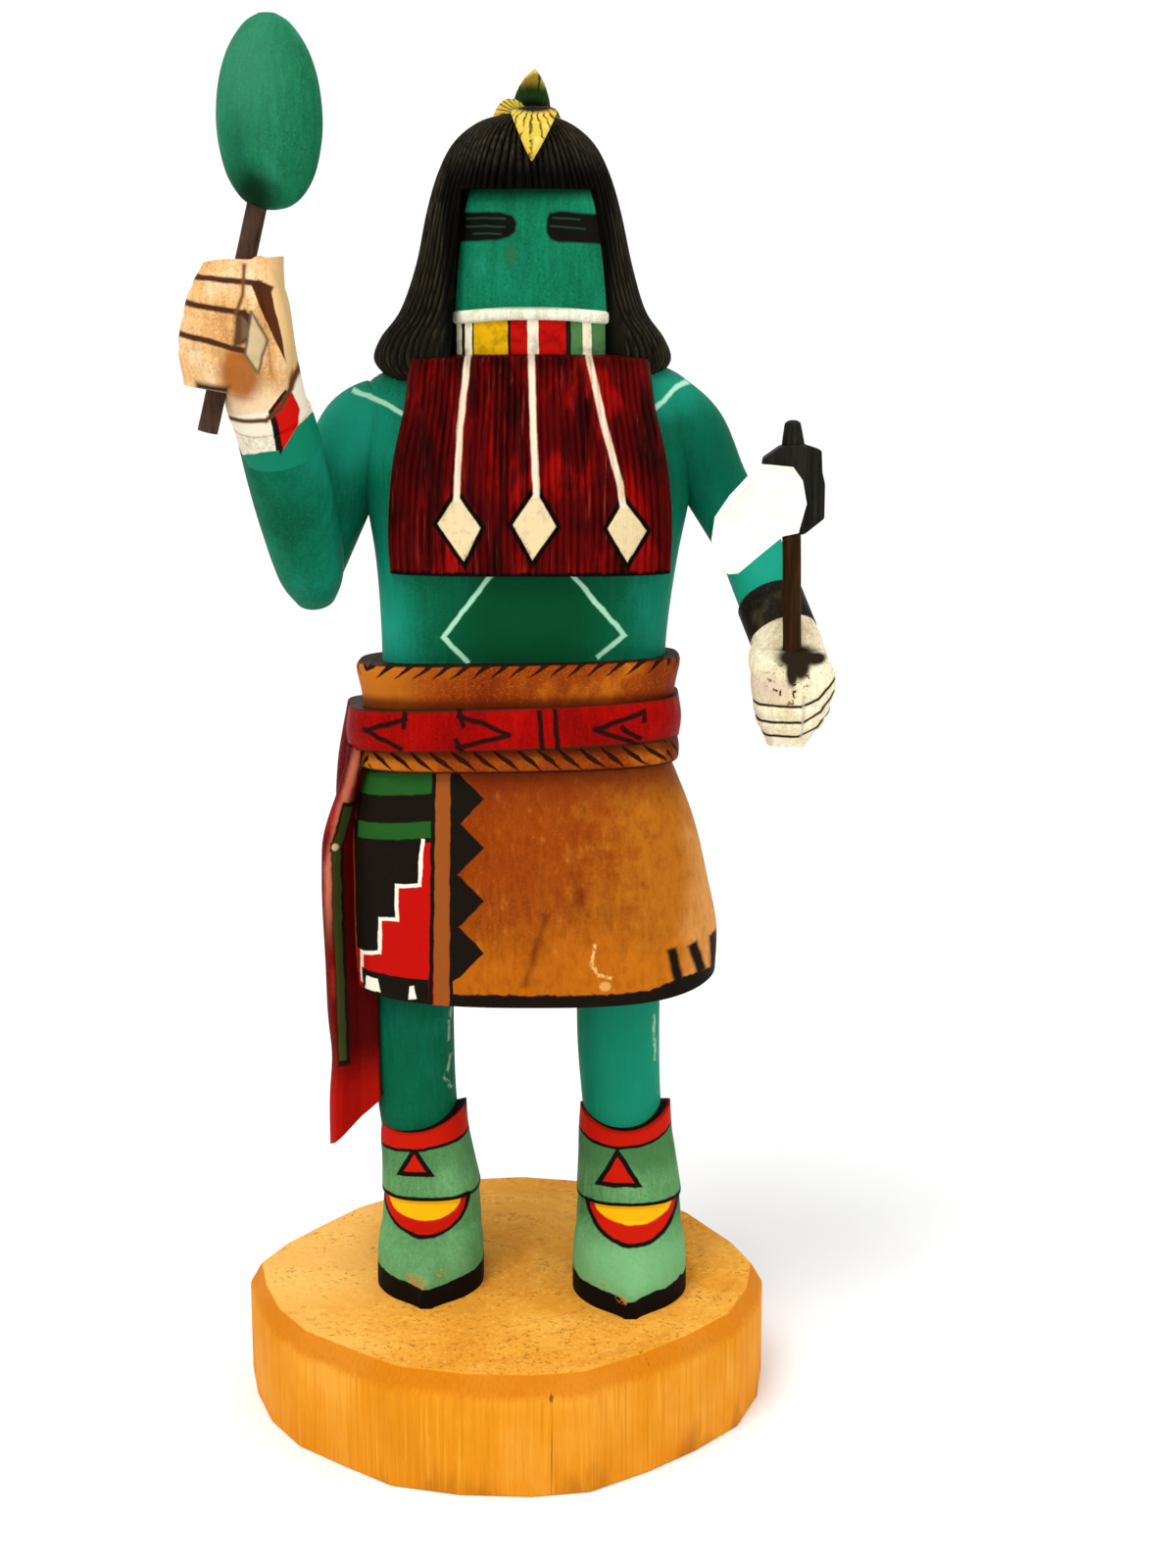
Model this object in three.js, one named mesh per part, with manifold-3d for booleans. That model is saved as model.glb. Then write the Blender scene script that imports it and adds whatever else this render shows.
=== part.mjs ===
// A carved and painted cottonwood kachina doll of the long-haired kind on a round wooden base. It holds a gourd
// rattle in its raised hand and a small hatchet in the other, and wears a tuft of four carved feathers.
// Millimetres, +Z up, the figure faces -Y, and the origin is the centre of the base's underside.
import * as THREE from "three";
import { mergeVertices } from "three/addons/utils/BufferGeometryUtils.js";
import Module from "manifold-3d";

const wasm = await Module();
wasm.setup();

// Driving dimensions.
const BASE_TOP = 22.7;
const BASE_CHAMFER = { rise: 4.3, run: 2.4 };
const HEM_Z = 82.6;
const BELT_Z = 132.6;
const SHOULDER_Z = 195;
const CHIN_Z = 200.3;
const BANGS_Z = 229;
const CROWN_Z = 242.8;
const BODY_X = 4.8; // the figure stands a little off the centre of its base
const BODY_Y = 2;
const RATTLE_STICK_R = 1.75;
const HATCHET_STICK_R = 1.65;
const HATCHET_BLOCK_DEEP = 5.4;
const FIT_GAP = 0.3; // clearance round every piece that is set into another

const { clamp, degToRad, lerp, smoothstep } = THREE.MathUtils;
const TURN = 2 * Math.PI;
const at = (x, y, z) => new THREE.Vector3(x, y, z);

// ---- making closed solids ----

function solidOf(geometry) {
  const bare = geometry.clone();
  bare.deleteAttribute("normal");
  bare.deleteAttribute("uv");
  const merged = mergeVertices(bare, 1e-3);
  return new wasm.Manifold(
    new wasm.Mesh({
      numProp: 3,
      vertProperties: merged.attributes.position.array,
      triVerts: new Uint32Array(merged.index.array),
    }),
  );
}

function geometryOf(solid) {
  const mesh = solid.getMesh();
  const geometry = new THREE.BufferGeometry();
  geometry.setAttribute("position", new THREE.BufferAttribute(mesh.vertProperties, 3));
  geometry.setIndex(new THREE.BufferAttribute(mesh.triVerts, 1));
  const faceted = geometry.toNonIndexed();
  faceted.computeVertexNormals();
  return faceted;
}

const join = (solids) => solids.reduce((whole, solid) => whole.add(solid));

// A unit cylinder whose rings are moved to place(t, angle, r): t runs from 0 to 1 along it, and r is 0 at a cap's
// middle and 1 on the skin.
function formed(around, along, place) {
  const geometry = new THREE.CylinderGeometry(1, 1, 1, around, along);
  const spots = geometry.attributes.position;
  for (let i = 0; i < spots.count; i++) {
    const across = spots.getZ(i);
    const deep = spots.getX(i);
    const point = place(spots.getY(i) + 0.5, Math.atan2(deep, across), Math.hypot(across, deep));
    spots.setXYZ(i, point.x, point.y, point.z);
  }
  return solidOf(geometry);
}

// The value of every field at t, on a smooth curve through evenly numbered stations.
function between(stations, t) {
  const last = stations.length - 1;
  const index = Math.min(Math.floor(t * last), last - 1);
  const f = t * last - index;
  const field = (key) => {
    const [a, b, c, d] = [-1, 0, 1, 2].map((k) => stations[clamp(index + k, 0, last)][key]);
    return b + 0.5 * f * (c - a + f * (2 * a - 5 * b + 4 * c - d + f * (3 * (b - c) + d - a)));
  };
  return Object.fromEntries(Object.keys(stations[0]).map((key) => [key, field(key)]));
}

const squared = (value, corner) => Math.sign(value) * Math.abs(value) ** (2 / corner);

// An upright form through stations of {z, x, y, wide, deep, corner}: wide and deep are half sizes, and corner is 2
// for an ellipse and more for a squarer outline. shape(angle, station) may change the reach and the height.
function upright(stations, around, along, shape = () => ({})) {
  return formed(around, along, (t, angle, r) => {
    const s = between(stations, t);
    const { reach = 1, lift = 0 } = shape(angle, s, t);
    const x = s.x + s.wide * reach * r * squared(Math.cos(angle), s.corner);
    const y = s.y + s.deep * reach * r * squared(Math.sin(angle), s.corner);
    return at(x, y, s.z + lift * r);
  });
}

// A limb along a curve through stations of {x, y, z, wide, deep}; broad is the direction that wide is measured in.
function limb(stations, around, along, broad = at(1, 0, 0)) {
  const curve = new THREE.CatmullRomCurve3(stations.map((s) => at(s.x, s.y, s.z)));
  return formed(around, along, (t, angle, r) => {
    const s = between(stations, t);
    const ahead = curve.getTangent(t);
    const side = broad.clone().addScaledVector(ahead, -broad.dot(ahead)).normalize();
    const other = ahead.clone().cross(side);
    return curve
      .getPoint(t)
      .addScaledVector(side, s.wide * r * Math.cos(angle))
      .addScaledVector(other, s.deep * r * Math.sin(angle));
  });
}

const ball = (centre, rx, ry, rz, around = 12, up = 8) =>
  solidOf(new THREE.SphereGeometry(1, around, up).scale(rx, ry, rz).translate(centre.x, centre.y, centre.z));

const block = (low, high) =>
  solidOf(
    new THREE.BoxGeometry(high.x - low.x, high.y - low.y, high.z - low.z).translate(
      (low.x + high.x) / 2,
      (low.y + high.y) / 2,
      (low.z + high.z) / 2,
    ),
  );

// A round stick between two points.
function stick(from, to, radius, around = 14) {
  const along = to.clone().sub(from);
  const geometry = new THREE.CylinderGeometry(radius, radius, along.length(), around);
  geometry.applyQuaternion(new THREE.Quaternion().setFromUnitVectors(at(0, 1, 0), along.clone().normalize()));
  const middle = from.clone().add(to).multiplyScalar(0.5);
  return solidOf(geometry.translate(middle.x, middle.y, middle.z));
}

// ---- base: a slice of pole, cut round with a hatchet into uneven flats and chamfered on top ----

function makeBase() {
  const corners = [
    [-169, 49.4], [-155, 49], [-141, 48.8], [-127, 48], [-113, 49.7], [-98, 49.6], [-83, 50.2], [-71, 50.8],
    [-56, 48.8], [-42, 48.6], [-27, 50], [-12, 50.2], [3, 50.9], [16, 49.2], [38, 48.9], [59, 49.6],
    [74, 50.8], [88, 51.2], [101, 50.6], [116, 48.6], [136, 47.2], [152, 46.8], [165, 48.8], [177, 51.2],
  ];
  const wallTop = BASE_TOP - BASE_CHAMFER.rise;
  return formed(corners.length, 2, (t, angle, r) => {
    const index = Math.round(((angle + TURN) % TURN) / (TURN / corners.length)) % corners.length;
    const [bearing, reach] = corners[index];
    const radius = r * (t > 0.75 ? reach - BASE_CHAMFER.run : reach);
    const z = t < 0.25 ? 0 : t < 0.75 ? wallTop : BASE_TOP;
    return at(radius * Math.cos(degToRad(bearing)), radius * Math.sin(degToRad(bearing)), z);
  });
}

// ---- legs and moccasins ----

function makeLeg(top, foot) {
  return upright(
    [
      { z: 50, x: foot.x, y: 2, wide: 7.6, deep: 7.8, corner: 2.2 },
      { z: 58, x: lerp(foot.x, top.x, 0.6), y: 2.4, wide: 7.7, deep: 8, corner: 2.2 },
      { z: 70, x: top.x, y: 3, wide: 8, deep: 8.3, corner: 2.2 },
      { z: 88, x: top.x, y: 3, wide: 8.1, deep: 8.6, corner: 2.2 },
    ],
    16,
    3,
  );
}

// The boot's shaft, with its top edge dipping in front, over a foot with a flat sole and a blunt pointed toe.
function makeMoccasin({ x, cuffX, width, toe, heel, cuffLean }) {
  const half = width / 2;
  const dip = (angle) => {
    const front = Math.max(0, -Math.sin(angle));
    const back = Math.max(0, Math.sin(angle));
    return -4.2 * front ** 1.6 - 3 * back + cuffLean * Math.cos(angle);
  };
  const shaft = upright(
    [
      { z: 38.6, x, y: 0.6, wide: half * 0.93, deep: 11.6, corner: 2.4 },
      { z: 45, x: lerp(x, cuffX, 0.5), y: 1.2, wide: half * 0.87, deep: 10.4, corner: 2.3 },
      { z: 51, x: cuffX, y: 1.6, wide: half * 0.83, deep: 9.6, corner: 2.2 },
      { z: 56.6, x: cuffX, y: 1.8, wide: half * 0.8, deep: 9.3, corner: 2.2 },
    ],
    20,
    4,
    (angle, s, t) => ({ lift: dip(angle) * smoothstep(t, 0.2, 1) }),
  );
  const length = heel - toe;
  const foot = formed(16, 7, (t, angle, r) => {
    const s = between(
      [
        { wide: 0.5, high: 9 },
        { wide: 0.84, high: 15.5 },
        { wide: 0.93, high: 17 },
        { wide: 0.99, high: 16.2 },
        { wide: 1, high: 12.2 },
        { wide: 0.86, high: 8 },
        { wide: 0.34, high: 4.6 },
      ],
      t,
    );
    const across = squared(Math.cos(angle), 2.4);
    const up = Math.sin(angle);
    const z = BASE_TOP + (up > 0 ? s.high * up ** 0.8 : 0) * r;
    return at(x + half * s.wide * across * r, heel - length * t, up < 0 ? BASE_TOP : z);
  });
  return shaft.add(foot);
}

// ---- kilt, its turned-over waist, the red belt and the side sash ----

const kiltHem = (angle) => 2.2 * Math.max(0, Math.cos(angle)) ** 4;

function makeKilt() {
  return upright(
    [
      { z: HEM_Z, x: 6.2, y: 0.8, wide: 34.3, deep: 22.6, corner: 2.5 },
      { z: 92, x: 6, y: 0.8, wide: 34.7, deep: 21.8, corner: 2.5 },
      { z: 103, x: 5, y: 0.6, wide: 33.7, deep: 20.4, corner: 2.6 },
      { z: 114, x: 3.8, y: 0.4, wide: 32.2, deep: 18.6, corner: 2.7 },
      { z: 125, x: 2.9, y: 0.4, wide: 28.4, deep: 16.4, corner: 2.8 },
    ],
    32,
    5,
    (angle, s, t) => ({ lift: kiltHem(angle) * (1 - smoothstep(t, 0, 0.5)) }),
  );
}

const waistLean = (angle) => 0.6 * Math.cos(angle) - 0.9 * Math.sin(angle);

function makeWaist() {
  const ring = (stations, along) => upright(stations, 32, along, (angle) => ({ lift: waistLean(angle) }));
  const hem = { x: 3.1, y: 0.4, corner: 2.8 };
  const under = ring(
    [
      { ...hem, z: 122.4, wide: 30, deep: 18.3 },
      { ...hem, z: 125, wide: 30.1, deep: 18.5 },
      { ...hem, z: 130, wide: 29.6, deep: 17.7 },
    ],
    2,
  );
  const turned = ring(
    [
      { ...hem, z: 134, wide: 28.9, deep: 17 },
      { ...hem, z: 140, wide: 29.4, deep: 17.7 },
      { ...hem, z: 144.6, wide: 30.2, deep: 18.4 },
    ],
    2,
  );
  const belt = ring(
    [
      { ...hem, x: 2.2, z: BELT_Z - 4.4, wide: 31, deep: 19.2 },
      { ...hem, x: 2.2, z: BELT_Z, wide: 31.4, deep: 19.6 },
      { ...hem, x: 2.2, z: BELT_Z + 4.3, wide: 30.8, deep: 19 },
    ],
    2,
  );
  return join([under, turned, belt]);
}

// The sash hangs from the belt at the figure's right side, a thick strap with a ridge down its front corner.
function makeSash() {
  const plan = new THREE.Shape([
    new THREE.Vector2(-24, -4.5),
    new THREE.Vector2(-27.6, -5.6),
    new THREE.Vector2(-30.7, -9.6),
    new THREE.Vector2(-32, -10.2),
    new THREE.Vector2(-33.4, -8),
    new THREE.Vector2(-33.4, 9),
    new THREE.Vector2(-32.4, 11),
    new THREE.Vector2(-24, 11),
  ]);
  const foot = 51.2;
  const head = 129;
  const geometry = new THREE.ExtrudeGeometry(plan, { depth: head - foot, steps: 9, bevelEnabled: false });
  const spots = geometry.attributes.position;
  for (let i = 0; i < spots.count; i++) {
    const x = spots.getX(i);
    const z = spots.getZ(i) + foot;
    const outer = smoothstep(-x, 26, 31);
    const hump = (middle, spread) => Math.exp(-(((z - middle) / spread) ** 2));
    const drawnIn = 4.8 * smoothstep(z, 109, 129) - 0.5 * hump(101, 12) + 0.7 * hump(69, 6);
    const slant = (x + 33.4) * 0.8 * (1 - smoothstep(z, foot, 68));
    spots.setX(i, x + drawnIn * outer);
    spots.setZ(i, z + slant);
  }
  const knot = upright(
    [
      { z: 103, x: -26, y: 10, wide: 3.2, deep: 4, corner: 2.2 },
      { z: 112, x: -26.6, y: 8, wide: 5.6, deep: 6, corner: 2.2 },
      { z: 123, x: -26, y: 8, wide: 6, deep: 6.4, corner: 2.2 },
      { z: 135, x: -25, y: 8, wide: 4.8, deep: 6, corner: 2.2 },
    ],
    12,
    4,
  );
  return solidOf(geometry).add(knot);
}

// ---- torso and arms ----

function makeTorso() {
  return upright(
    [
      { z: 138, x: 3.9, y: BODY_Y, wide: 26.6, deep: 15, corner: 2.9 },
      { z: 150, x: 4.2, y: BODY_Y, wide: 27.1, deep: 14.8, corner: 2.9 },
      { z: 163, x: 4.7, y: BODY_Y, wide: 28.4, deep: 14.8, corner: 2.8 },
      { z: 176, x: 5, y: BODY_Y, wide: 30.2, deep: 14.4, corner: 2.7 },
      { z: 188, x: 5, y: BODY_Y, wide: 31, deep: 13, corner: 2.5 },
      { z: SHOULDER_Z, x: 5.2, y: BODY_Y + 0.4, wide: 29.4, deep: 10.6, corner: 2.3 },
      { z: 198.6, x: 5.6, y: BODY_Y + 0.8, wide: 23, deep: 8, corner: 2.2 },
    ],
    28,
    6,
  );
}

const RIGHT_WRIST = at(-39.3, -20.2, 190);
const LEFT_WRIST = at(52, -9.4, 149.8);

function makeRightArm() {
  const upper = limb(
    [
      { x: -20.4, y: 2.4, z: 190.8, wide: 6, deep: 6.8 },
      { x: -26.2, y: 2.6, z: 185.4, wide: 7.8, deep: 8.4 },
      { x: -31.2, y: 2.8, z: 173, wide: 6.9, deep: 7.8 },
      { x: -34.5, y: 1.6, z: 161.5, wide: 6.1, deep: 7 },
      { x: -35, y: 0.8, z: 155.8, wide: 3.8, deep: 4.4 },
    ],
    12,
    7,
  );
  const fore = limb(
    [
      { x: -34.9, y: 2.2, z: 155.4, wide: 3.8, deep: 3.6 },
      { x: -35.2, y: -1.4, z: 160.6, wide: 6.1, deep: 6 },
      { x: -36.2, y: -8, z: 170.4, wide: 7.2, deep: 6.6 },
      { x: -37.8, y: -14.2, z: 180.4, wide: 7.2, deep: 6.5 },
      { x: RIGHT_WRIST.x, y: RIGHT_WRIST.y, z: RIGHT_WRIST.z, wide: 6.7, deep: 6.1 },
    ],
    12,
    6,
  );
  const bracelet = limb(
    [
      { x: -38, y: -16.6, z: 184.3, wide: 7.2, deep: 6.9 },
      { x: -39.2, y: -20.4, z: 190.2, wide: 7.1, deep: 6.7 },
    ],
    14,
    1,
  );
  return join([upper, fore, bracelet]);
}

function makeLeftArm() {
  const arm = limb(
    [
      { x: 30, y: 2.4, z: 191.8, wide: 6.4, deep: 7 },
      { x: 36.2, y: 2.6, z: 186.6, wide: 8, deep: 8.4 },
      { x: 40.8, y: 3, z: 176, wide: 6.6, deep: 7.6 },
      { x: 45.6, y: 2.4, z: 166, wide: 5.9, deep: 6.8 },
      { x: 49.2, y: -2, z: 157.4, wide: 5.9, deep: 6.4 },
      { x: LEFT_WRIST.x, y: LEFT_WRIST.y, z: LEFT_WRIST.z, wide: 5.9, deep: 6 },
    ],
    12,
    9,
  );
  const cuff = limb(
    [
      { x: 49, y: -2, z: 157.6, wide: 6.3, deep: 6.8 },
      { x: 51.2, y: -7.6, z: 151.8, wide: 6.2, deep: 6.5 },
    ],
    14,
    1,
  );
  return arm.add(cuff);
}

// A fist closed round a stick: rings stacked up the stick from foot to head, pinched between its four fingers on
// the side that faces grip. grooves are the heights of the three pinches as shares of the fist.
function makeFist({ foot, head, stations, grip, grooves, depth }) {
  const up = head.clone().sub(foot);
  const ahead = up.clone().normalize();
  const side = at(1, 0, 0).addScaledVector(ahead, -ahead.x).normalize();
  const back = ahead.clone().cross(side);
  const levels = [0, 0.08];
  grooves.forEach((g) => levels.push(g - 0.04, g, g + 0.04));
  levels.push(0.94, 1);
  return formed(14, levels.length - 1, (t, angle, r) => {
    const level = levels[Math.round(t * (levels.length - 1))];
    const s = between(stations, level);
    const facing = smoothstep(Math.cos(angle - grip), -0.35, 0.2);
    const pinch = grooves.includes(level) ? depth * facing : 0;
    const across = (s.wide - pinch) * r * squared(Math.cos(angle), 2.8);
    const deep = (s.deep - pinch) * r * squared(Math.sin(angle), 2.8);
    return foot
      .clone()
      .addScaledVector(up, level)
      .addScaledVector(side, s.x + across)
      .addScaledVector(back, s.y + deep);
  });
}

const RATTLE_FOOT = at(-49.5, -26.6, 187.6);
const RATTLE_HEAD = at(-38.1, -26.6, 232.6);
const HATCHET_FOOT = at(52.8, -19, 139);
const HATCHET_HEAD = at(51.9, -19, 184);

function makeRightHand() {
  const fist = makeFist({
    foot: at(-46.2, -26.6, 195.2),
    head: at(-42.4, -26.6, 216.6),
    grip: degToRad(215),
    grooves: [0.27, 0.52, 0.77],
    depth: 0.9,
    stations: [
      { x: 0.2, y: 0, wide: 5.8, deep: 5.6 },
      { x: 0, y: 0, wide: 8.7, deep: 7.2 },
      { x: -0.1, y: 0, wide: 8.7, deep: 7.4 },
      { x: -0.2, y: 0, wide: 8, deep: 7.2 },
      { x: 0, y: 0, wide: 6.8, deep: 6 },
    ],
  });
  const heel = limb(
    [
      { x: -39.2, y: -19.6, z: 189.2, wide: 6.8, deep: 6.2 },
      { x: -40.2, y: -22, z: 193.8, wide: 7, deep: 7.2 },
      { x: -40.8, y: -24.4, z: 201, wide: 6.6, deep: 7.8 },
      { x: -41.2, y: -25.6, z: 210, wide: 6, deep: 6.6 },
      { x: -41.2, y: -26, z: 216.8, wide: 4.4, deep: 5.6 },
    ],
    12,
    4,
  );
  const thumb = limb(
    [
      { x: -36.4, y: -27, z: 195, wide: 1.6, deep: 1.8 },
      { x: -36, y: -30.2, z: 200, wide: 2, deep: 2.6 },
      { x: -36.6, y: -31.2, z: 207, wide: 2, deep: 2.6 },
      { x: -38.4, y: -31, z: 213.4, wide: 2, deep: 2.2 },
      { x: -40, y: -29.6, z: 216.6, wide: 1.6, deep: 1.6 },
    ],
    8,
    5,
  );
  return join([fist, heel, thumb]);
}

function makeLeftHand() {
  const fist = makeFist({
    foot: at(52.6, -18.4, 131.2),
    head: at(53.1, -18, 148.4),
    grip: degToRad(270),
    grooves: [0.16, 0.31, 0.46],
    depth: 0.7,
    stations: [
      { x: -0.8, y: 0.6, wide: 3.4, deep: 4 },
      { x: -0.3, y: 0, wide: 6, deep: 6.2 },
      { x: 0, y: 0, wide: 7.2, deep: 7 },
      { x: 0, y: 0.4, wide: 7.5, deep: 6.6 },
      { x: 0, y: 1.8, wide: 5.8, deep: 4.4 },
    ],
  });
  const heel = limb(
    [
      { x: 51.8, y: -8.4, z: 151, wide: 5.8, deep: 5.8 },
      { x: 52.4, y: -12.4, z: 147, wide: 6.8, deep: 6.2 },
      { x: 52.6, y: -15.6, z: 142.4, wide: 7, deep: 6 },
    ],
    12,
    3,
  );
  const thumb = limb(
    [
      { x: 47.4, y: -12.4, z: 148, wide: 1.8, deep: 1.8 },
      { x: 47.2, y: -18, z: 145.8, wide: 2.2, deep: 2.4 },
      { x: 48.6, y: -22.4, z: 142.4, wide: 1.8, deep: 2.2 },
      { x: 51, y: -23.8, z: 140.6, wide: 1, deep: 1.2 },
    ],
    8,
    4,
  );
  return join([fist, heel, thumb]);
}

// ---- head: hair with its bangs and turned-up ends, the mask set into it, and the long beard ----

const HAIR_X = 4.5;
const FACE = { left: -7.9, right: 19.1, x: 5.6, front: -11.4 };

function makeHair() {
  const flutes = 29;
  const ripple = (angle) => (Math.round((angle / TURN) * 2 * flutes) % 2 === 0 ? 0 : -1);
  const head = [
    { z: 195.6, wide: 24.4, deep: 14.4, corner: 2.3 },
    { z: 199, wide: 27.2, deep: 15.4, corner: 2.3 },
    { z: 203, wide: 26, deep: 15.4, corner: 2.3 },
    { z: 208, wide: 22.4, deep: 15.2, corner: 2.3 },
    { z: 216, wide: 19.7, deep: 15.6, corner: 2.3 },
    { z: 225, wide: 17.7, deep: 16, corner: 2.3 },
    { z: 232, wide: 15.6, deep: 15.2, corner: 2.2 },
    { z: 237.6, wide: 12.6, deep: 12.6, corner: 2.1 },
    { z: 241.2, wide: 8, deep: 8.2, corner: 2 },
    { z: CROWN_Z, wide: 2.4, deep: 2.6, corner: 2 },
  ].map((s) => ({ ...s, x: HAIR_X - 0.4 * smoothstep(-s.z, -216, -203), y: 2.6 }));
  const crop = upright(head, 2 * flutes, 8, (angle, s) => ({ reach: 1 + (0.62 / s.wide) * ripple(angle) }));
  const fall = upright(
    [
      { z: 160, x: 5, y: 15.8, wide: 14, deep: 2.6, corner: 3 },
      { z: 172, x: 5, y: 16, wide: 15.6, deep: 3.4, corner: 2.6 },
      { z: 186, x: 5, y: 14.6, wide: 17.4, deep: 4.4, corner: 2.4 },
      { z: 200, x: 4.6, y: 12, wide: 19.4, deep: 6, corner: 2.3 },
    ],
    32,
    3,
    (angle, s) => ({ reach: 1 + (0.5 / s.wide) * (Math.round((angle / TURN) * 32) % 2) }),
  );
  const face = block(at(FACE.left, -30, 190), at(FACE.right, FACE.front + 3.4, BANGS_Z));
  return crop.subtract(face).add(fall);
}

// The mask is a plain rounded front with a lip along its lower edge, over a shorter painted neck band.
function makeMask() {
  const front = { x: FACE.x, y: 2, corner: 2.9 };
  const face = upright(
    [
      { ...front, z: 206, wide: 14.2, deep: 13.4 },
      { ...front, z: 230, wide: 14.2, deep: 13.2 },
    ],
    24,
    1,
  );
  const lip = upright(
    [
      { ...front, z: 205.4, wide: 14.3, deep: 14 },
      { ...front, z: 206.6, wide: 14.4, deep: 14.5 },
      { ...front, z: 207.8, wide: 14.3, deep: 14 },
    ],
    24,
    2,
  );
  const neckBand = upright(
    [
      { ...front, z: 192, wide: 14.4, deep: 13.5 },
      { ...front, z: 206, wide: 14.4, deep: 13.5 },
    ],
    24,
    1,
  );
  return join([face, lip, neckBand]);
}

function makeBeard() {
  const strands = 24;
  const stations = [
    { z: 161.2, wide: 25.6, deep: 17.3, thick: 2.6 },
    { z: 170, wide: 25.8, deep: 17.3, thick: 3 },
    { z: 181, wide: 24.8, deep: 17.3, thick: 3.4 },
    { z: 191, wide: 22.6, deep: 17, thick: 4 },
    { z: 198.6, wide: 20.4, deep: 16.2, thick: 5 },
    { z: CHIN_Z, wide: 19.6, deep: 15.2, thick: 5 },
  ];
  const sheet = new THREE.BoxGeometry(2, 2, 1, 2 * strands, 1, 5);
  const spots = sheet.attributes.position;
  for (let i = 0; i < spots.count; i++) {
    const u = spots.getX(i);
    const outer = spots.getY(i) < 0;
    const s = between(stations, spots.getZ(i) + 0.5);
    const strand = Math.round((u + 1) * strands) % 2 === 0 ? 0 : 0.55;
    const bow = 1 - Math.abs(u) ** 2.9;
    const front = BODY_Y - s.deep * (0.62 + 0.38 * Math.sqrt(Math.max(0, bow)));
    const y = outer ? front + strand : front + s.thick + 4;
    spots.setXYZ(i, 5.6 + s.wide * u, y, s.z + (outer ? 0 : 0.8));
  }
  return solidOf(sheet);
}

// ---- what is set into the figure: rattle, hatchet and feathers ----

const makeRattleStick = (extra = 0) => stick(RATTLE_FOOT, RATTLE_HEAD, RATTLE_STICK_R + extra);

function makeGourd() {
  const centre = { x: -37.4, y: -26.6 };
  const egg = upright(
    [
      { z: 224.6, wide: 2.2, deep: 1.9 },
      { z: 227, wide: 5.6, deep: 4.6 },
      { z: 231.4, wide: 8, deep: 6.4 },
      { z: 238, wide: 9.1, deep: 7.2 },
      { z: 245, wide: 8.5, deep: 6.9 },
      { z: 250.8, wide: 6.8, deep: 5.6 },
      { z: 255, wide: 4, deep: 3.4 },
      { z: 256.7, wide: 1.4, deep: 1.2 },
    ].map((s) => ({ ...s, ...centre, corner: 2 })),
    20,
    9,
  );
  const past = RATTLE_HEAD.clone().sub(RATTLE_FOOT).setLength(FIT_GAP).add(RATTLE_HEAD);
  return egg.subtract(stick(RATTLE_FOOT, past, RATTLE_STICK_R + FIT_GAP));
}

// The handle is whittled in one piece with the squared head block, and its end stands out above the block.
function makeHatchetHandle() {
  const outline = new THREE.Shape(
    [
      [50.1, 169.2], [54.2, 169.4], [57.7, 172.2], [57.7, 178.3], [57.2, 180.3], [57, 184.1], [54.3, 185],
      [50, 184.8], [47, 182.7], [46.8, 181.5], [47.8, 174.6],
    ].map(([x, z]) => new THREE.Vector2(x, z)),
  );
  const stub = limb(
    [
      { x: 52.2, y: HATCHET_FOOT.y, z: 184, wide: 2.2, deep: 2 },
      { x: 52, y: HATCHET_FOOT.y, z: 189.2, wide: 1.35, deep: 1.7 },
    ],
    8,
    1,
  );
  const head = new THREE.ExtrudeGeometry(outline, { depth: HATCHET_BLOCK_DEEP, bevelEnabled: false });
  head.rotateX(Math.PI / 2).translate(0, HATCHET_FOOT.y + HATCHET_BLOCK_DEEP / 2, 0);
  const handle = solidOf(head).add(stick(HATCHET_FOOT, HATCHET_HEAD, HATCHET_STICK_R));
  return handle.add(stub);
}

// The white blade is glued at a slant to the block's front, and runs out and down to a rounded edge. Its outline is
// drawn along the slant and upwards.
const BLADE = { root: at(52.4, -23.4, 0), slant: degToRad(35), reach: 18.1, thick: 2.9, edge: 0.7 };

function makeHatchetBlade() {
  const outline = new THREE.Shape(
    [
      [-1.1, 175], [0.6, 170.2], [3.8, 169.8], [8.9, 166.7], [13.2, 163.9], [15.2, 163.9], [17, 166.4],
      [18.1, 169.6], [17.4, 173.5], [14.1, 176.9], [9.6, 180.3], [7.1, 181.9], [1.9, 181.3], [-0.1, 179],
    ].map(([out, z]) => new THREE.Vector2(out, z)),
  );
  const geometry = new THREE.ExtrudeGeometry(outline, { depth: 1, bevelEnabled: false });
  const spots = geometry.attributes.position;
  const along = at(-Math.cos(BLADE.slant), -Math.sin(BLADE.slant), 0);
  const through = at(-Math.sin(BLADE.slant), Math.cos(BLADE.slant), 0);
  for (let i = 0; i < spots.count; i++) {
    const out = spots.getX(i);
    const thick = lerp(BLADE.thick, BLADE.edge, clamp(out / BLADE.reach, 0, 1));
    const point = BLADE.root.clone().setZ(spots.getY(i)).addScaledVector(along, out);
    point.addScaledVector(through, (spots.getZ(i) - 0.5) * thick);
    spots.setXYZ(i, point.x, point.y, point.z);
  }
  const blockFront = HATCHET_FOOT.y - HATCHET_BLOCK_DEEP / 2 - FIT_GAP;
  return solidOf(geometry).subtract(block(at(40, blockFront, 160), at(60, 0, 190)));
}

// A carved feather: a thin leaf along a curve, widest before its pointed tip.
function makeFeather(points, halfWidth, broad, spread, extra = 0) {
  const curve = new THREE.CatmullRomCurve3(points);
  const stations = spread.map((share, i) => {
    const p = curve.getPoint(i / (spread.length - 1));
    return { x: p.x, y: p.y, z: p.z, wide: halfWidth * share + extra, deep: 0.55 + extra };
  });
  return limb(stations, 6, 6, broad);
}

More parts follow.
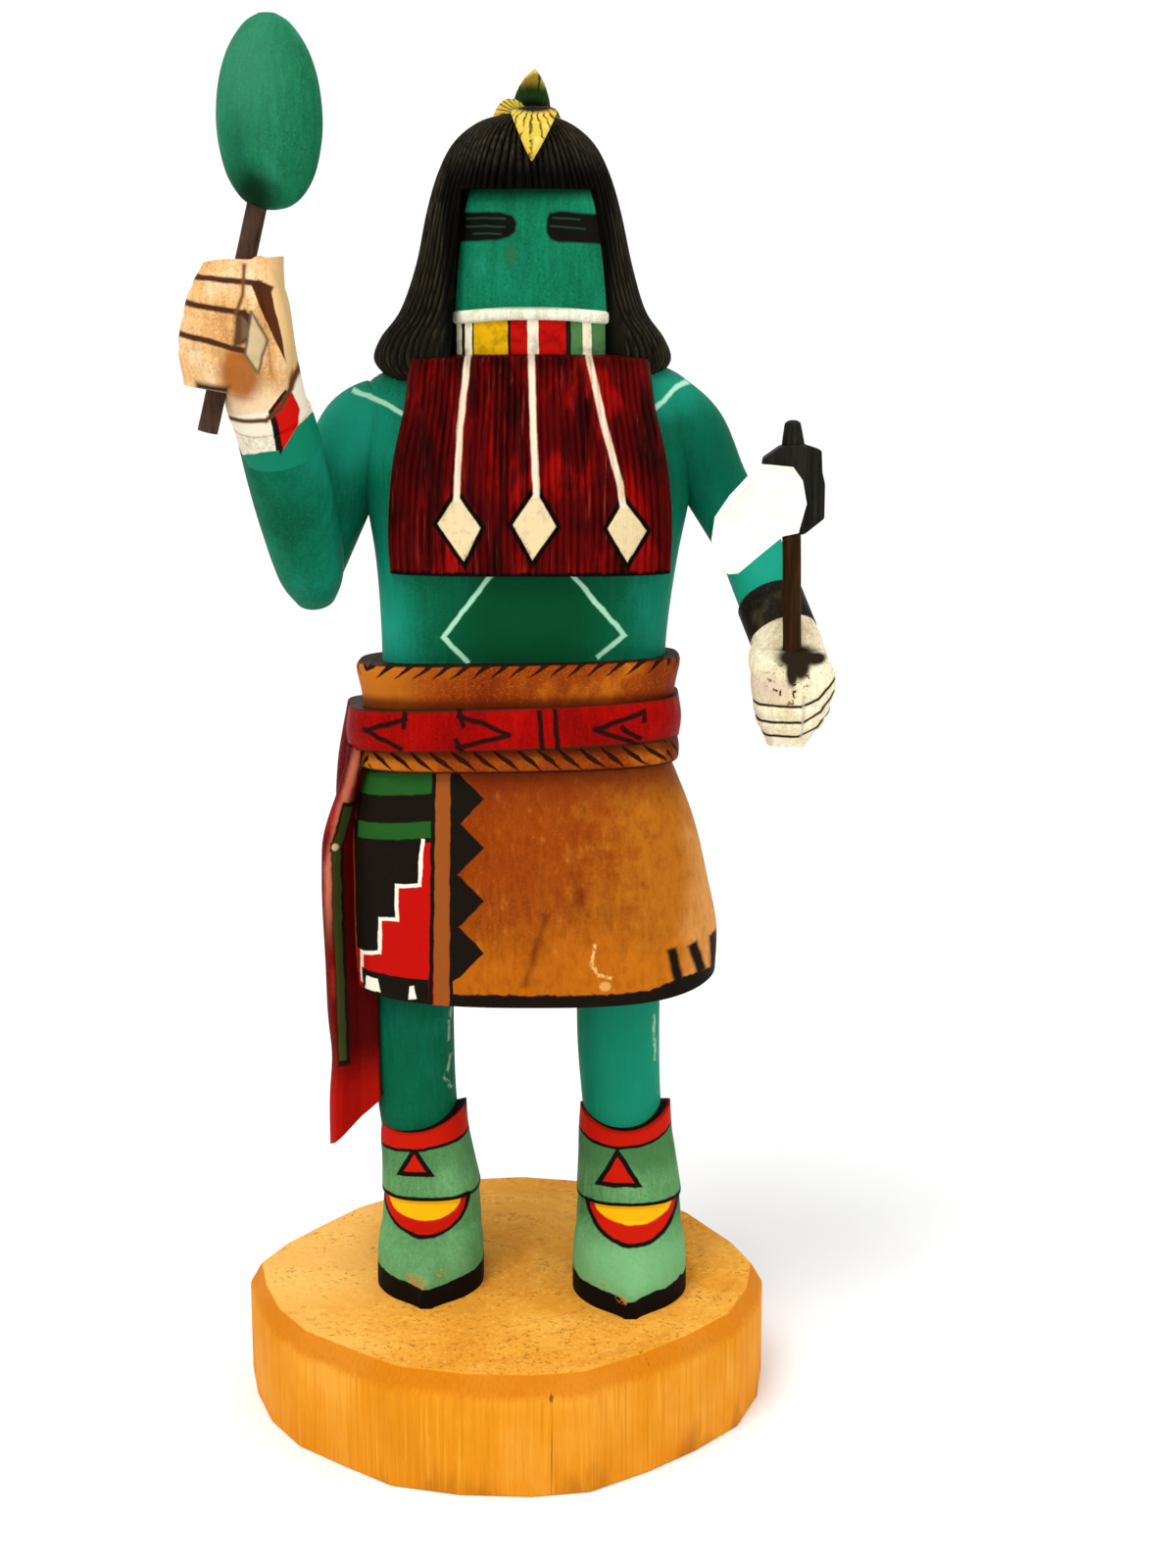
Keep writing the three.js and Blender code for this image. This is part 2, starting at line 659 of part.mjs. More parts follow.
const LEAF = [0.7, 1, 0.92, 0.7, 0.4, 0.06];
const FEATHERS = {
  feather_front: {
    points: [at(6.6, -5, 242.9), at(6.6, -8.4, 241.6), at(6.5, -11.4, 238.2), at(6.3, -13.4, 233.8)],
    halfWidth: 4.3,
    broad: at(1, 0, 0),
  },
  feather_back: {
    points: [at(5.8, 5, 240.4), at(5.9, 5.9, 244.4), at(6.2, 4.4, 248), at(6.6, 1.2, 249.9)],
    halfWidth: 3.5,
    broad: at(1, 0, 0),
  },
  feather_left: {
    points: [at(4.2, 0.6, 242.2), at(2.4, 1.2, 244.4), at(0.6, 0.8, 243.8), at(-0.8, -0.2, 241.2)],
    halfWidth: 3,
    broad: at(-0.1, -0.7, -0.7).normalize(),
  },
  feather_right: {
    points: [at(8.2, 1, 242.4), at(9.2, 1.2, 243.2), at(10.2, 0.8, 242.4), at(11.2, 0, 240.2)],
    halfWidth: 2.6,
    broad: at(-0.35, -1, 0).normalize(),
  },
};

const featherOf = ({ points, halfWidth, broad }, extra) => makeFeather(points, halfWidth, broad, LEAF, extra);

// ---- the figure, carved from one block ----

function makeFigure() {
  const legs = [
    makeLeg({ x: -18 }, { x: -16.4 }),
    makeLeg({ x: 22 }, { x: 23.4 }),
    makeMoccasin({ x: -14.6, cuffX: -15.9, width: 20.6, toe: -20, heel: 13, cuffLean: 1.8 }),
    makeMoccasin({ x: 24.1, cuffX: 23.4, width: 22, toe: -24.6, heel: 12.6, cuffLean: 0.3 }),
  ];
  const carved = join([
    ...legs,
    makeKilt(),
    makeWaist(),
    makeSash(),
    makeTorso(),
    makeRightArm(),
    makeLeftArm(),
    makeRightHand(),
    makeLeftHand(),
    makeHair(),
    makeMask(),
    makeBeard(),
  ]);
  const setIn = [
    makeRattleStick(FIT_GAP),
    stick(HATCHET_FOOT.clone().setZ(HATCHET_FOOT.z - FIT_GAP), HATCHET_HEAD, HATCHET_STICK_R + FIT_GAP),
    ...Object.values(FEATHERS).map((feather) => featherOf(feather, FIT_GAP)),
  ];
  return setIn.reduce((whole, piece) => whole.subtract(piece), carved);
}

const paints = {
  base_wood: { color: 0xd9a05a, roughness: 0.7 },
  turquoise_paint: { color: 0x1f8f78, roughness: 0.65 },
  white_paint: { color: 0xf0ece2, roughness: 0.6 },
  dark_wood: { color: 0x3a2c27, roughness: 0.6 },
  feather_yellow: { color: 0xc9a636, roughness: 0.6 },
};

const doll = new THREE.Group();

function show(name, solid, paint) {
  const mesh = new THREE.Mesh(
    geometryOf(solid),
    new THREE.MeshStandardMaterial({ ...paints[paint], metalness: 0 }),
  );
  mesh.name = name;
  doll.add(mesh);
}

show("base", makeBase(), "base_wood");
show("figure", makeFigure(), "turquoise_paint");
show("rattle_stick", makeRattleStick(), "dark_wood");
show("rattle_gourd", makeGourd(), "turquoise_paint");
show("hatchet_handle", makeHatchetHandle(), "dark_wood");
show("hatchet_blade", makeHatchetBlade(), "white_paint");
for (const [name, feather] of Object.entries(FEATHERS)) show(name, featherOf(feather), "feather_yellow");

export default doll;
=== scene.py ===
# A carved and painted cottonwood kachina doll on a slice of pole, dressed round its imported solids.
# The figure faces -Y, and lengths are in millimetres until each piece's mesh is finished.
import math

import bmesh
import bpy
import numpy as np
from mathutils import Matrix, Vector


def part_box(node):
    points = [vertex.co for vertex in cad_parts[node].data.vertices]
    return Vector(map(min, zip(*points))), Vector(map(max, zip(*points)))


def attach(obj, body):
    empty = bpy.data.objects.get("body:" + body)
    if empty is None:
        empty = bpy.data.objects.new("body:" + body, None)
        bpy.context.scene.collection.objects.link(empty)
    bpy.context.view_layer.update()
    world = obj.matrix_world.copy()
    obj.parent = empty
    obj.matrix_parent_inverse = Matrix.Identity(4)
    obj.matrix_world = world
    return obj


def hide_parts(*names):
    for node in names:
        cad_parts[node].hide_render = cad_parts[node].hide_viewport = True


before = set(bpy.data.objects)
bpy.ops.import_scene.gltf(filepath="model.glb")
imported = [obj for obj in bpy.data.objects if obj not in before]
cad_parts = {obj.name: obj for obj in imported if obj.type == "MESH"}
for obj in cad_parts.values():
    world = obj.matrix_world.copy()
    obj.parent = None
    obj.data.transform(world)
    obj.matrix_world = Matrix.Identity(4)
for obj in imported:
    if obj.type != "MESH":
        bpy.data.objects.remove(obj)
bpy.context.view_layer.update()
scene = bpy.context.scene
scene.view_settings.view_transform = "Standard"

# ---- floor, light and camera ----
# A pale paper sweep that curves up behind the doll, a broad soft lamp at the upper left in front of it and
# a weaker one at the right, and a lens held a little above the doll and looking down at it.
MM = 0.001
TURN = 2 * math.pi
SWEEP = {"front": -1.6, "bend": 0.7, "radius": 0.5, "high": 1.4, "half": 2.2}


def sockets(node, **values):
    """Sets a node's inputs by name, with underscores for spaces."""
    for name, value in values.items():
        node.inputs[name.replace("_", " ")].default_value = value


sweep_mesh = bmesh.new()
bmesh.ops.create_grid(sweep_mesh, x_segments=1, y_segments=1, size=1)
for corner in sweep_mesh.verts:
    corner.co = (corner.co.x * SWEEP["half"], SWEEP["front"] if corner.co.y < 0 else SWEEP["bend"], 0)
rear_edge = [e for e in sweep_mesh.edges if all(v.co.y > 0 for v in e.verts)]
turned_up = bmesh.ops.spin(
    sweep_mesh, geom=rear_edge, cent=(0, SWEEP["bend"], SWEEP["radius"]), axis=(1, 0, 0), angle=TURN / 4,
    steps=16,
)
wall_foot = [e for e in turned_up["geom_last"] if isinstance(e, bmesh.types.BMEdge)]
wall = bmesh.ops.extrude_edge_only(sweep_mesh, edges=wall_foot)
wall_top = [v for v in wall["geom"] if isinstance(v, bmesh.types.BMVert)]
bmesh.ops.translate(sweep_mesh, verts=wall_top, vec=(0, 0, SWEEP["high"]))
bmesh.ops.recalc_face_normals(sweep_mesh, faces=sweep_mesh.faces)
sweep = bpy.data.objects.new("paper_sweep", bpy.data.meshes.new("paper_sweep"))
sweep_mesh.to_mesh(sweep.data)
sweep_mesh.free()
sweep.data.shade_smooth()
scene.collection.objects.link(sweep)
paper = bpy.data.materials.new("pale_paper")
paper.use_nodes = True
sockets(paper.node_tree.nodes["Principled BSDF"], Base_Color=(0.95, 0.95, 0.95, 1), Roughness=0.9)
sweep.data.materials.append(paper)

world = bpy.data.worlds.new("studio")
world.use_nodes = True
sockets(world.node_tree.nodes["Background"], Color=(1, 1, 1, 1), Strength=0.8)
scene.world = world


def soft_lamp(name, place, aim, size, power):
    lamp = bpy.data.lights.new(name, "AREA")
    lamp.shape = "DISK"
    lamp.size = size
    lamp.energy = power
    holder = bpy.data.objects.new(name, lamp)
    holder.location = place
    holder.rotation_euler = (Vector(aim) - Vector(place)).to_track_quat("-Z", "Y").to_euler()
    scene.collection.objects.link(holder)


soft_lamp("key_lamp", (-0.35, -0.55, 1.15), aim=(0, 0, 0.1), size=0.6, power=9)
soft_lamp("fill_lamp", (0.8, -0.5, 0.6), aim=(0, 0, 0.12), size=0.8, power=2)

camera = bpy.data.cameras.new("camera")
camera.lens = 54
camera.sensor_width = 36
camera.clip_start = 0.01
camera_holder = bpy.data.objects.new("camera", camera)
camera_holder.location = (0.0161, -0.436, 0.2104)
camera_holder.rotation_euler = (math.radians(78.3), 0, 0)
scene.collection.objects.link(camera_holder)
scene.camera = camera_holder

# ---- base ----
# A slice of cottonwood pole. Its side is hewn round with a hatchet into uneven flats, its top edge is
# chamfered, and it is left as bare, pale orange-brown wood with end grain on top.
BASE_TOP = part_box("base")[1][2] / MM
BASE_CHAMFER = {"rise": 4.3, "run": 2.4}
BASE_CORNERS = [
    (-169, 49.4), (-155, 49), (-141, 48.8), (-127, 48), (-113, 49.7), (-98, 49.6), (-83, 50.2), (-71, 50.8),
    (-56, 48.8), (-42, 48.6), (-27, 50), (-12, 50.2), (3, 50.9), (16, 49.2), (38, 48.9), (59, 49.6),
    (74, 50.8), (88, 51.2), (101, 50.6), (116, 48.6), (136, 47.2), (152, 46.8), (165, 48.8), (177, 51.2),
]


class Field:
    """A number, place or colour at every point of a finish, which can be reckoned with as numbers are."""

    def __init__(self, finish, socket):
        self.finish = finish
        self.socket = socket

    def __add__(self, other):
        return self.finish.math("ADD", self, other)

    def __radd__(self, other):
        return self.finish.math("ADD", other, self)

    def __sub__(self, other):
        return self.finish.math("SUBTRACT", self, other)

    def __rsub__(self, other):
        return self.finish.math("SUBTRACT", other, self)

    def __mul__(self, other):
        return self.finish.math("MULTIPLY", self, other)

    def __truediv__(self, other):
        return self.finish.math("DIVIDE", self, other)

    def __pow__(self, other):
        return self.finish.math("POWER", self, other)

    def __abs__(self):
        return self.finish.math("ABSOLUTE", self)


class Finish:
    """A paint or wood finish. Colours are laid over one another through masks, from the first coat up."""

    def __init__(self, name, colour, roughness=0.6):
        self.material = bpy.data.materials.new(name)
        self.material.use_nodes = True
        self.nodes = self.material.node_tree.nodes
        self.links = self.material.node_tree.links
        self.shader = self.nodes["Principled BSDF"]
        place = Field(self, self.nodes.new("ShaderNodeTexCoord").outputs["Object"])
        self.place = self.vector("SCALE", place, scale=1 / MM)
        self.colour = self.mix(colour, colour, 0.0)
        sockets(self.shader, Roughness=roughness, Specular_IOR_Level=0.03)
        self.front = 1.0
        self.dents = None

    def feed(self, socket, value):
        if isinstance(value, Field):
            self.links.new(value.socket, socket)
        elif isinstance(value, tuple) and len(value) == 3 and socket.type == "RGBA":
            socket.default_value = (*value, 1)
        else:
            socket.default_value = value

    def math(self, operation, a, b=0.0):
        node = self.nodes.new("ShaderNodeMath")
        node.operation = operation
        self.feed(node.inputs[0], a)
        self.feed(node.inputs[1], b)
        return Field(self, node.outputs[0])

    def vector(self, operation, a, b=None, scale=None):
        node = self.nodes.new("ShaderNodeVectorMath")
        node.operation = operation
        self.feed(node.inputs[0], a)
        if b is not None:
            self.feed(node.inputs[1], b)
        if scale is not None:
            node.inputs["Scale"].default_value = scale
        kind = "Value" if operation in ("DOT_PRODUCT", "LENGTH") else "Vector"
        return Field(self, node.outputs[kind])

    def axes(self, place=None):
        node = self.nodes.new("ShaderNodeSeparateXYZ")
        self.feed(node.inputs[0], self.place if place is None else place)
        return [Field(self, socket) for socket in node.outputs]

    def joined(self, x, y, z):
        node = self.nodes.new("ShaderNodeCombineXYZ")
        for socket, value in zip(node.inputs, (x, y, z)):
            self.feed(socket, value)
        return Field(self, node.outputs[0])

    def noise(self, scale, detail=3.0, stretch=(1, 1, 1), roughness=0.55, place=None):
        """Cloudy 0 to 1 values, scale of them to a millimetre; stretch squeezes them along each axis."""
        node = self.nodes.new("ShaderNodeTexNoise")
        place = self.place if place is None else place
        if stretch != (1, 1, 1):
            place = self.vector("MULTIPLY", place, stretch)
        self.feed(node.inputs["Vector"], place)
        sockets(node, Scale=scale, Detail=detail, Roughness=roughness)
        return Field(self, node.outputs["Fac"])

    def ramp(self, value, start, end, low=0.0, high=1.0):
        """value eased from start to end, into low to high."""
        node = self.nodes.new("ShaderNodeMapRange")
        node.interpolation_type = "SMOOTHSTEP"
        self.feed(node.inputs["Value"], value)
        if start > end:
            start, end, low, high = end, start, high, low
        sockets(node, From_Min=start, From_Max=end, To_Min=low, To_Max=high)
        return Field(self, node.outputs["Result"])

    def mix(self, below, above, amount):
        node = self.nodes.new("ShaderNodeMix")
        node.data_type = "RGBA"
        self.feed(node.inputs[0], amount)
        self.feed(node.inputs[6], below)
        self.feed(node.inputs[7], above)
        return Field(self, node.outputs[2])

    def lay(self, colour, amount=1.0):
        """Lays a colour over what is there, as far as amount says."""
        self.colour = self.mix(self.colour, colour, amount)

    def shade(self, amount, depth):
        """Darkens what is there by depth where amount is 1."""
        factor = 1.0 - amount * depth
        self.colour = self.vector("MULTIPLY", self.colour, self.joined(factor, factor, factor))

    def dent(self, height, depth):
        """Adds relief of depth millimetres where height is 1."""
        relief = height * depth
        self.dents = relief if self.dents is None else self.dents + relief

    def drawn(self, facing=None, wander=0.3):
        """Readies the finish for drawing in x and z with an unsteady hand, on what faces past y = facing."""
        x, y, z = self.axes()
        x, z = (a + self.sway(wander, 0.35, shift) for a, shift in ((x, 0), (z, 40)))
        self.flat = self.joined(x, z, 1.0)
        self.front = 1.0 if facing is None else self.ramp(y, facing + 0.8, facing - 0.8)

    def sway(self, reach, size, shift):
        """A slow wander of up to about reach millimetres either way."""
        place = self.vector("ADD", self.place, (shift, shift, shift))
        return (self.noise(size, 2, place=place) - 0.5) * (2.4 * reach)

    def beyond(self, x1, z1, x2, z2):
        """Millimetres to the left of the line from (x1, z1) to (x2, z2), and below 0 on its right."""
        long = math.hypot(x2 - x1, z2 - z1)
        across, up = -(z2 - z1) / long, (x2 - x1) / long
        return self.vector("DOT_PRODUCT", self.flat, (across, up, -(across * x1 + up * z1)))

    def edged(self, distance, soft=0.12):
        """1 where a distance is under 0, with an edge as soft as a brush leaves."""
        mask = self.ramp(distance, soft, -soft)
        return mask if self.front == 1.0 else mask * self.front

    def outside(self, corners):
        """Millimetres outside a patch with straight sides, whose corners go round clockwise."""
        sides = [self.beyond(*a, *b) for a, b in zip(corners, corners[1:] + corners[:1])]
        far = sides[0]
        for side in sides[1:]:
            far = self.math("MAXIMUM", far, side)
        return far

    def patch(self, *corners, grow=0.0, soft=0.12):
        return self.edged(self.outside(list(corners)) - grow, soft)

    def stroke(self, *route, wide, soft=0.12):
        """A brush stroke of that width through the points of a route."""
        nearest = None
        for (x1, z1), (x2, z2) in zip(route, route[1:]):
            long = math.hypot(x2 - x1, z2 - z1)
            ux, uz = (x2 - x1) / long, (z2 - z1) / long
            middle = -(ux * (x1 + x2) + uz * (z1 + z2)) / 2
            along = self.vector("DOT_PRODUCT", self.flat, (ux, uz, middle))
            past = abs(along) - long / 2
            aside = abs(self.beyond(x1, z1, x2, z2))
            away = self.math("MAXIMUM", past, aside)
            nearest = away if nearest is None else self.math("MINIMUM", nearest, away)
        return self.edged(nearest - wide / 2, soft)

    def draw(self, colour, *routes, wide, soft=0.12, over=None):
        """Lays a brush stroke of one colour and width along every route, as thick as over says."""
        for route in routes:
            line = self.stroke(*route, wide=wide, soft=soft)
            self.lay(colour, line if over is None else line * over)

    def fill(self, colour, *corners, soft=0.12):
        """Lays a patch of colour with straight sides."""
        self.lay(colour, self.patch(*corners, soft=soft))

    def round_spot(self, x, z, reach_x, reach_z, soft=0.3):
        """A soft-edged round or oval spot."""
        stretch = (1 / reach_x, 1 / reach_z, 0)
        place = self.vector("MULTIPLY", self.vector("SUBTRACT", self.flat, (x, z, 0)), stretch)
        near = self.ramp(self.vector("LENGTH", place), 1 + soft, 1 - soft)
        return near if self.front == 1.0 else near * self.front

    def finished(self):
        self.feed(self.shader.inputs["Base Color"], self.colour)
        if self.dents is not None:
            bump = self.nodes.new("ShaderNodeBump")
            sockets(bump, Distance=MM)
            self.feed(bump.inputs["Height"], self.dents)
            self.links.new(bump.outputs["Normal"], self.shader.inputs["Normal"])
        return self.material


def piece_of(bm, name, finish, crease=35):
    """The finished object of a bmesh in millimetres, smooth but for its creases, and out of the bmesh."""
    bmesh.ops.recalc_face_normals(bm, faces=bm.faces)
    bmesh.ops.scale(bm, vec=(MM, MM, MM), verts=bm.verts)
    mesh = bpy.data.meshes.new(name)
    bm.to_mesh(mesh)
    bm.free()
    mesh.shade_smooth()
    mesh.set_sharp_from_angle(angle=math.radians(crease))
    mesh.materials.append(finish)
    piece = bpy.data.objects.new(name, mesh)
    scene.collection.objects.link(piece)
    return piece


def seated(piece, node):
    """The piece stands for a solid: it hangs from the root body, and the solid is hidden."""
    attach(piece, "root")
    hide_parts(node)


def drawn_out(bm, way, keep=True):
    """Draws the bmesh's faces out by way, and gives the new points and faces."""
    made = bmesh.ops.extrude_face_region(bm, geom=bm.faces[:], use_keep_orig=keep)["geom"]
    points = [g for g in made if isinstance(g, bmesh.types.BMVert)]
    bmesh.ops.translate(bm, verts=points, vec=way)
    return points, [g for g in made if isinstance(g, bmesh.types.BMFace)]


def blunted(bm, geom, offset, segments=2, affect="EDGES"):
    """Rounds over edges, or the corners of a flat outline, by offset."""
    bmesh.ops.bevel(
        bm, geom=geom, offset=offset, offset_type="OFFSET", affect=affect, segments=segments, profile=0.5,
        material=-1,
    )


base_mesh = bmesh.new()
bmesh.ops.create_circle(base_mesh, cap_ends=True, segments=len(BASE_CORNERS), radius=1)
for vert, (bearing, reach) in zip(base_mesh.verts, BASE_CORNERS):
    turn = math.radians(bearing)
    vert.co = (reach * math.cos(turn), reach * math.sin(turn), 0)
rim, top_face = drawn_out(base_mesh, (0, 0, BASE_TOP - BASE_CHAMFER["rise"]), keep=False)
bmesh.ops.inset_region(
    base_mesh, faces=top_face, thickness=BASE_CHAMFER["run"], depth=BASE_CHAMFER["rise"],
    use_even_offset=True,
)
blunted(base_mesh, [e for e in base_mesh.edges if len(e.link_faces) == 2], 0.5)

# End grain on top, with faint rings and open pores, and long upright fibres down the hewn side.
wood = Finish("bare_wood", (0.75, 0.28, 0.015), 0.62)
x, y, z = wood.axes()
top = wood.ramp(z, BASE_TOP - 0.4, BASE_TOP - 0.1)
side = 1.0 - top
clouds = wood.noise(0.045, 3)
wood.lay((0.92, 0.46, 0.075), wood.ramp(clouds, 0.45, 0.7, high=0.8))
wood.lay((0.62, 0.21, 0.012), wood.ramp(clouds, 0.5, 0.3, high=0.7))
from_heart = wood.vector("LENGTH", wood.joined(x + 9.0, y - 6.0, 0.0))
rings = abs(wood.math("FRACT", from_heart * 0.16 + clouds * 1.5) - 0.5)
wood.lay((0.58, 0.19, 0.012), wood.ramp(rings, 0.2, 0.02, high=0.3) * top)
paler = wood.ramp(wood.noise(0.07, 3), 0.3, 0.6)
wood.lay((0.9, 0.42, 0.05), paler * top * 0.5)
far_left = wood.ramp(x, -8, -40) * wood.ramp(y, -26, -4, low=0.3, high=0.6)
wood.lay((1.0, 0.58, 0.15), far_left * top)
pores = wood.noise(0.9, 5, roughness=0.85)
specked = wood.math(
    "MAXIMUM", wood.ramp(wood.noise(0.09, 2), 0.42, 0.6, low=0.15), wood.ramp(y, -12, -34, high=0.9),
)
open_pores = wood.ramp(pores, 0.555, 0.61) * (top * specked)
wood.lay((0.24, 0.07, 0.008), open_pores * 0.8)
pale_pores = wood.ramp(pores, 0.44, 0.34) * top
wood.lay((1.0, 0.66, 0.2), pale_pores * 0.6)
fibres = wood.noise(1.5, 5, stretch=(1, 1, 0.03), roughness=0.6)
wood.lay((0.55, 0.18, 0.01), wood.ramp(fibres, 0.5, 0.34, high=0.6) * side)
wood.lay((0.97, 0.52, 0.06), wood.ramp(fibres, 0.54, 0.7, high=0.55) * side)
uneven = z + (wood.noise(0.12, 4) - 0.5) * 2.2
wood.lay((0.74, 0.25, 0.002), side * 0.45)
chamfer = wood.ramp(uneven, BASE_TOP - BASE_CHAMFER["rise"] - 0.8, BASE_TOP - 2.8) * side
wood.lay((0.56, 0.15, 0.003), chamfer * 0.65)
# Cloudy darker patches down the hewn side, more of them towards the bottom.
side_clouds = wood.noise(0.11, 4, stretch=(1, 1, 0.35))
low = z * 0.022 + side * -0.3
darker_low_down = wood.ramp(side_clouds - low, 0.74, 0.98)
wood.lay((0.36, 0.1, 0.008), darker_low_down * side * 0.6)
cracks = wood.noise(0.7, 3, stretch=(1, 1, 0.03), roughness=0.7)
cracked = wood.ramp(cracks, 0.31, 0.27) * side
wood.lay((0.16, 0.045, 0.006), cracked * 0.8)
wood.dent(fibres * side, 0.35)
wood.dent(pores * top, 0.25)
bare_wood = wood.finished()

base = piece_of(base_mesh, "pole_slice", bare_wood, crease=24)
seated(base, "base")

# ---- legs and moccasins ----
# The legs are carved of one block with the whole figure and painted turquoise. They stand in tall moccasins
# painted sage green, with a red cuff band, a small red triangle, a yellow and red half moon and a black sole.


def turned_form(around, along, place):
    """A closed tube turned about the z axis, with its rings moved to place(t, angle, r).

    t runs from 0 to 1 up the tube, and r is 0 in the middle of an end and 1 on the skin."""
    bm = bmesh.new()
    profile = [(0, 0)] + [(1, i / along) for i in range(along + 1)] + [(0, 1)]
    path = [bm.verts.new((r, 0, t)) for r, t in profile]
    edges = [bm.edges.new(pair) for pair in zip(path, path[1:])]
    bmesh.ops.spin(
        bm, geom=path + edges, cent=(0, 0, 0), axis=(0, 0, 1), angle=TURN, steps=around, use_merge=True,
    )
    bmesh.ops.remove_doubles(bm, verts=bm.verts, dist=1e-5)
    spots = np.array([v.co for v in bm.verts])
    reach = np.minimum(np.hypot(spots[:, 0], spots[:, 1]), 1)
    placed = place(spots[:, 2], np.arctan2(spots[:, 1], spots[:, 0]), np.round(reach, 4))
    for vert, spot in zip(bm.verts, placed.tolist()):
        vert.co = spot
    return bm


def along_stations(stations, t):
    """Every field of the stations at t, on a smooth curve through them."""
    last = len(stations) - 1
    index = np.minimum(np.floor(t * last).astype(int), last - 1)
    f = t * last - index
    fields = {}
    for key in stations[0]:
        values = np.array([float(s[key]) for s in stations])
        a, b, c, d = (values[np.clip(index + k, 0, last)] for k in (-1, 0, 1, 2))
        fields[key] = b + 0.5 * f * (c - a + f * (2 * a - 5 * b + 4 * c - d + f * (3 * (b - c) + d - a)))
    return fields


def stations_of(fields, *rows):
    """The places that a form runs through, a row for each, whose values are named by fields."""
    return [dict(zip(fields.split(), row)) for row in rows]


def squared(value, corner):
    return np.sign(value) * np.abs(value) ** (2 / corner)


def eased(value, start, end):
    share = np.clip((value - start) / (end - start), 0, 1)
    return share * share * (3 - 2 * share)


def upright(stations, around, along, shape=None):
    """An upright form through stations of z, x, y, wide, deep and corner, which is 2 for an ellipse.

    shape(angle, s, t) may give a reach that scales the skin and a lift that raises it."""

    def place(t, angle, r):
        s = along_stations(stations, t)
        reach, lift = shape(angle, s, t) if shape else (1, 0)
        x = s["x"] + s["wide"] * reach * r * squared(np.cos(angle), s["corner"])
        y = s["y"] + s["deep"] * reach * r * squared(np.sin(angle), s["corner"])
        return np.stack([x, y, s["z"] + lift * r], axis=1)

    return turned_form(around, along, place)


def limb(stations, around, along, broad=(1, 0, 0), ends=0.0):
    """A limb along a curve through stations of x, y, z, wide and deep, with wide measured along broad.

    ends is the share of each end that is rounded over."""

    def middle(t):
        s = along_stations(stations, t)
        return np.stack([s["x"], s["y"], s["z"]], axis=1)

    def place(t, angle, r):
        s = along_stations(stations, t)
        ahead = middle(np.minimum(t + 0.01, 1)) - middle(np.maximum(t - 0.01, 0))
        ahead /= np.linalg.norm(ahead, axis=1, keepdims=True)
        side = np.array(broad) - ahead * (ahead @ np.array(broad))[:, None]
        side /= np.linalg.norm(side, axis=1, keepdims=True)
        other = np.cross(ahead, side)
        rounded = 1.0
        if ends:
            near = np.clip(np.minimum(t, 1 - t) / ends, 0, 1)
            rounded = 0.55 + 0.45 * np.sqrt(1 - (1 - near) ** 2)
        across = s["wide"] * rounded * r * np.cos(angle)
        deep = s["deep"] * rounded * r * np.sin(angle)
        return middle(t) + side * across[:, None] + other * deep[:, None]

    return turned_form(around, along, place)


def brushed(finish, darker, lighter, size=0.07, grain=0.06):
    """Thin water paint over wood: cloudy darker and lighter stretches, a fine grain and a few bare specks."""
    clouds = finish.noise(size, 4, stretch=(1, 1, 0.6))
    finish.lay(darker, finish.ramp(clouds, 0.52, 0.3))
    finish.lay(lighter, finish.ramp(clouds, 0.52, 0.72))
    fibres = finish.noise(1.3, 3, stretch=(1, 1, 0.12))
    finish.shade(finish.ramp(fibres, 0.62, 0.4), 0.16)
    specks = finish.noise(2.6, 2, roughness=0.8)
    finish.lay(lighter, finish.ramp(specks, 0.56, 0.74, high=0.75))
    finish.shade(finish.ramp(specks, 0.46, 0.28), 0.4)
    finish.dent(fibres, grain)
    finish.dent(finish.noise(0.22, 2), 0.35)


skin = Finish("turquoise_paint", (0.004, 0.165, 0.083), 0.55)
brushed(skin, (0.002, 0.1, 0.042), (0.008, 0.26, 0.16))
skin.drawn(facing=1)
# Painted shade under the beard and under the kilt's hem, with the right leg painted darker and the left leg
# lighter.
skin.lay((0.001, 0.056, 0.018), skin.round_spot(5, 152, 17, 16, soft=0.6))
skin.lay((0.001, 0.05, 0.02), skin.round_spot(-18, 84, 12, 7, soft=0.7))
skin.lay((0.001, 0.085, 0.035), skin.round_spot(-20, 60, 9, 20, soft=0.5) * 0.6)
skin.lay((0.01, 0.27, 0.16), skin.round_spot(24, 68, 9, 20, soft=0.5) * 0.7)
# Painted highlights on the shoulders, the sides of the trunk and the left arm's elbow.
for *spot, amount in (
    (48, 160, 7, 13, 0.85), (-28, 187, 8, 8, 0.6), (-24, 150, 7, 18, 0.5), (33, 150, 7, 20, 0.4),
    (30, 193, 7, 4, 0.5),
):
    skin.lay((0.012, 0.33, 0.22), skin.round_spot(*spot, soft=0.6) * amount)
# Painted shade beside the beard and between the arms and the trunk.
for *spot, amount in ((38, 181, 9, 11, 0.75), (-38, 174, 6, 12, 0.3), (-25, 168, 4, 10, 0.5)):
    skin.lay((0.001, 0.085, 0.045), skin.round_spot(*spot, soft=0.7) * amount)
mint_lines = (
    [(-26.6, 193.7), (-20.8, 191.7), (-16, 189)], [(27.4, 190), (32.4, 194.6), (36, 195.8)],
    [(-1.4, 161.2), (-10.2, 149.8), (-6, 145.5)], [(13.4, 161.2), (22.7, 150), (18, 146.4)],
)
skin.draw((0.36, 0.68, 0.48), *mint_lines, wide=0.85, soft=0.2)
worn_through = skin.ramp(skin.noise(0.55, 3), 0.42, 0.54, high=0.75)
scratches = (
    [(-10.4, 66.8), (-11.5, 62.6), (-10.4, 60.4)], [(-10.4, 76), (-10.9, 70)], [(28.7, 75), (29, 66)],
)
skin.draw((0.5, 0.6, 0.44), *scratches, wide=0.4, soft=0.25, over=worn_through)
turquoise = skin.finished()

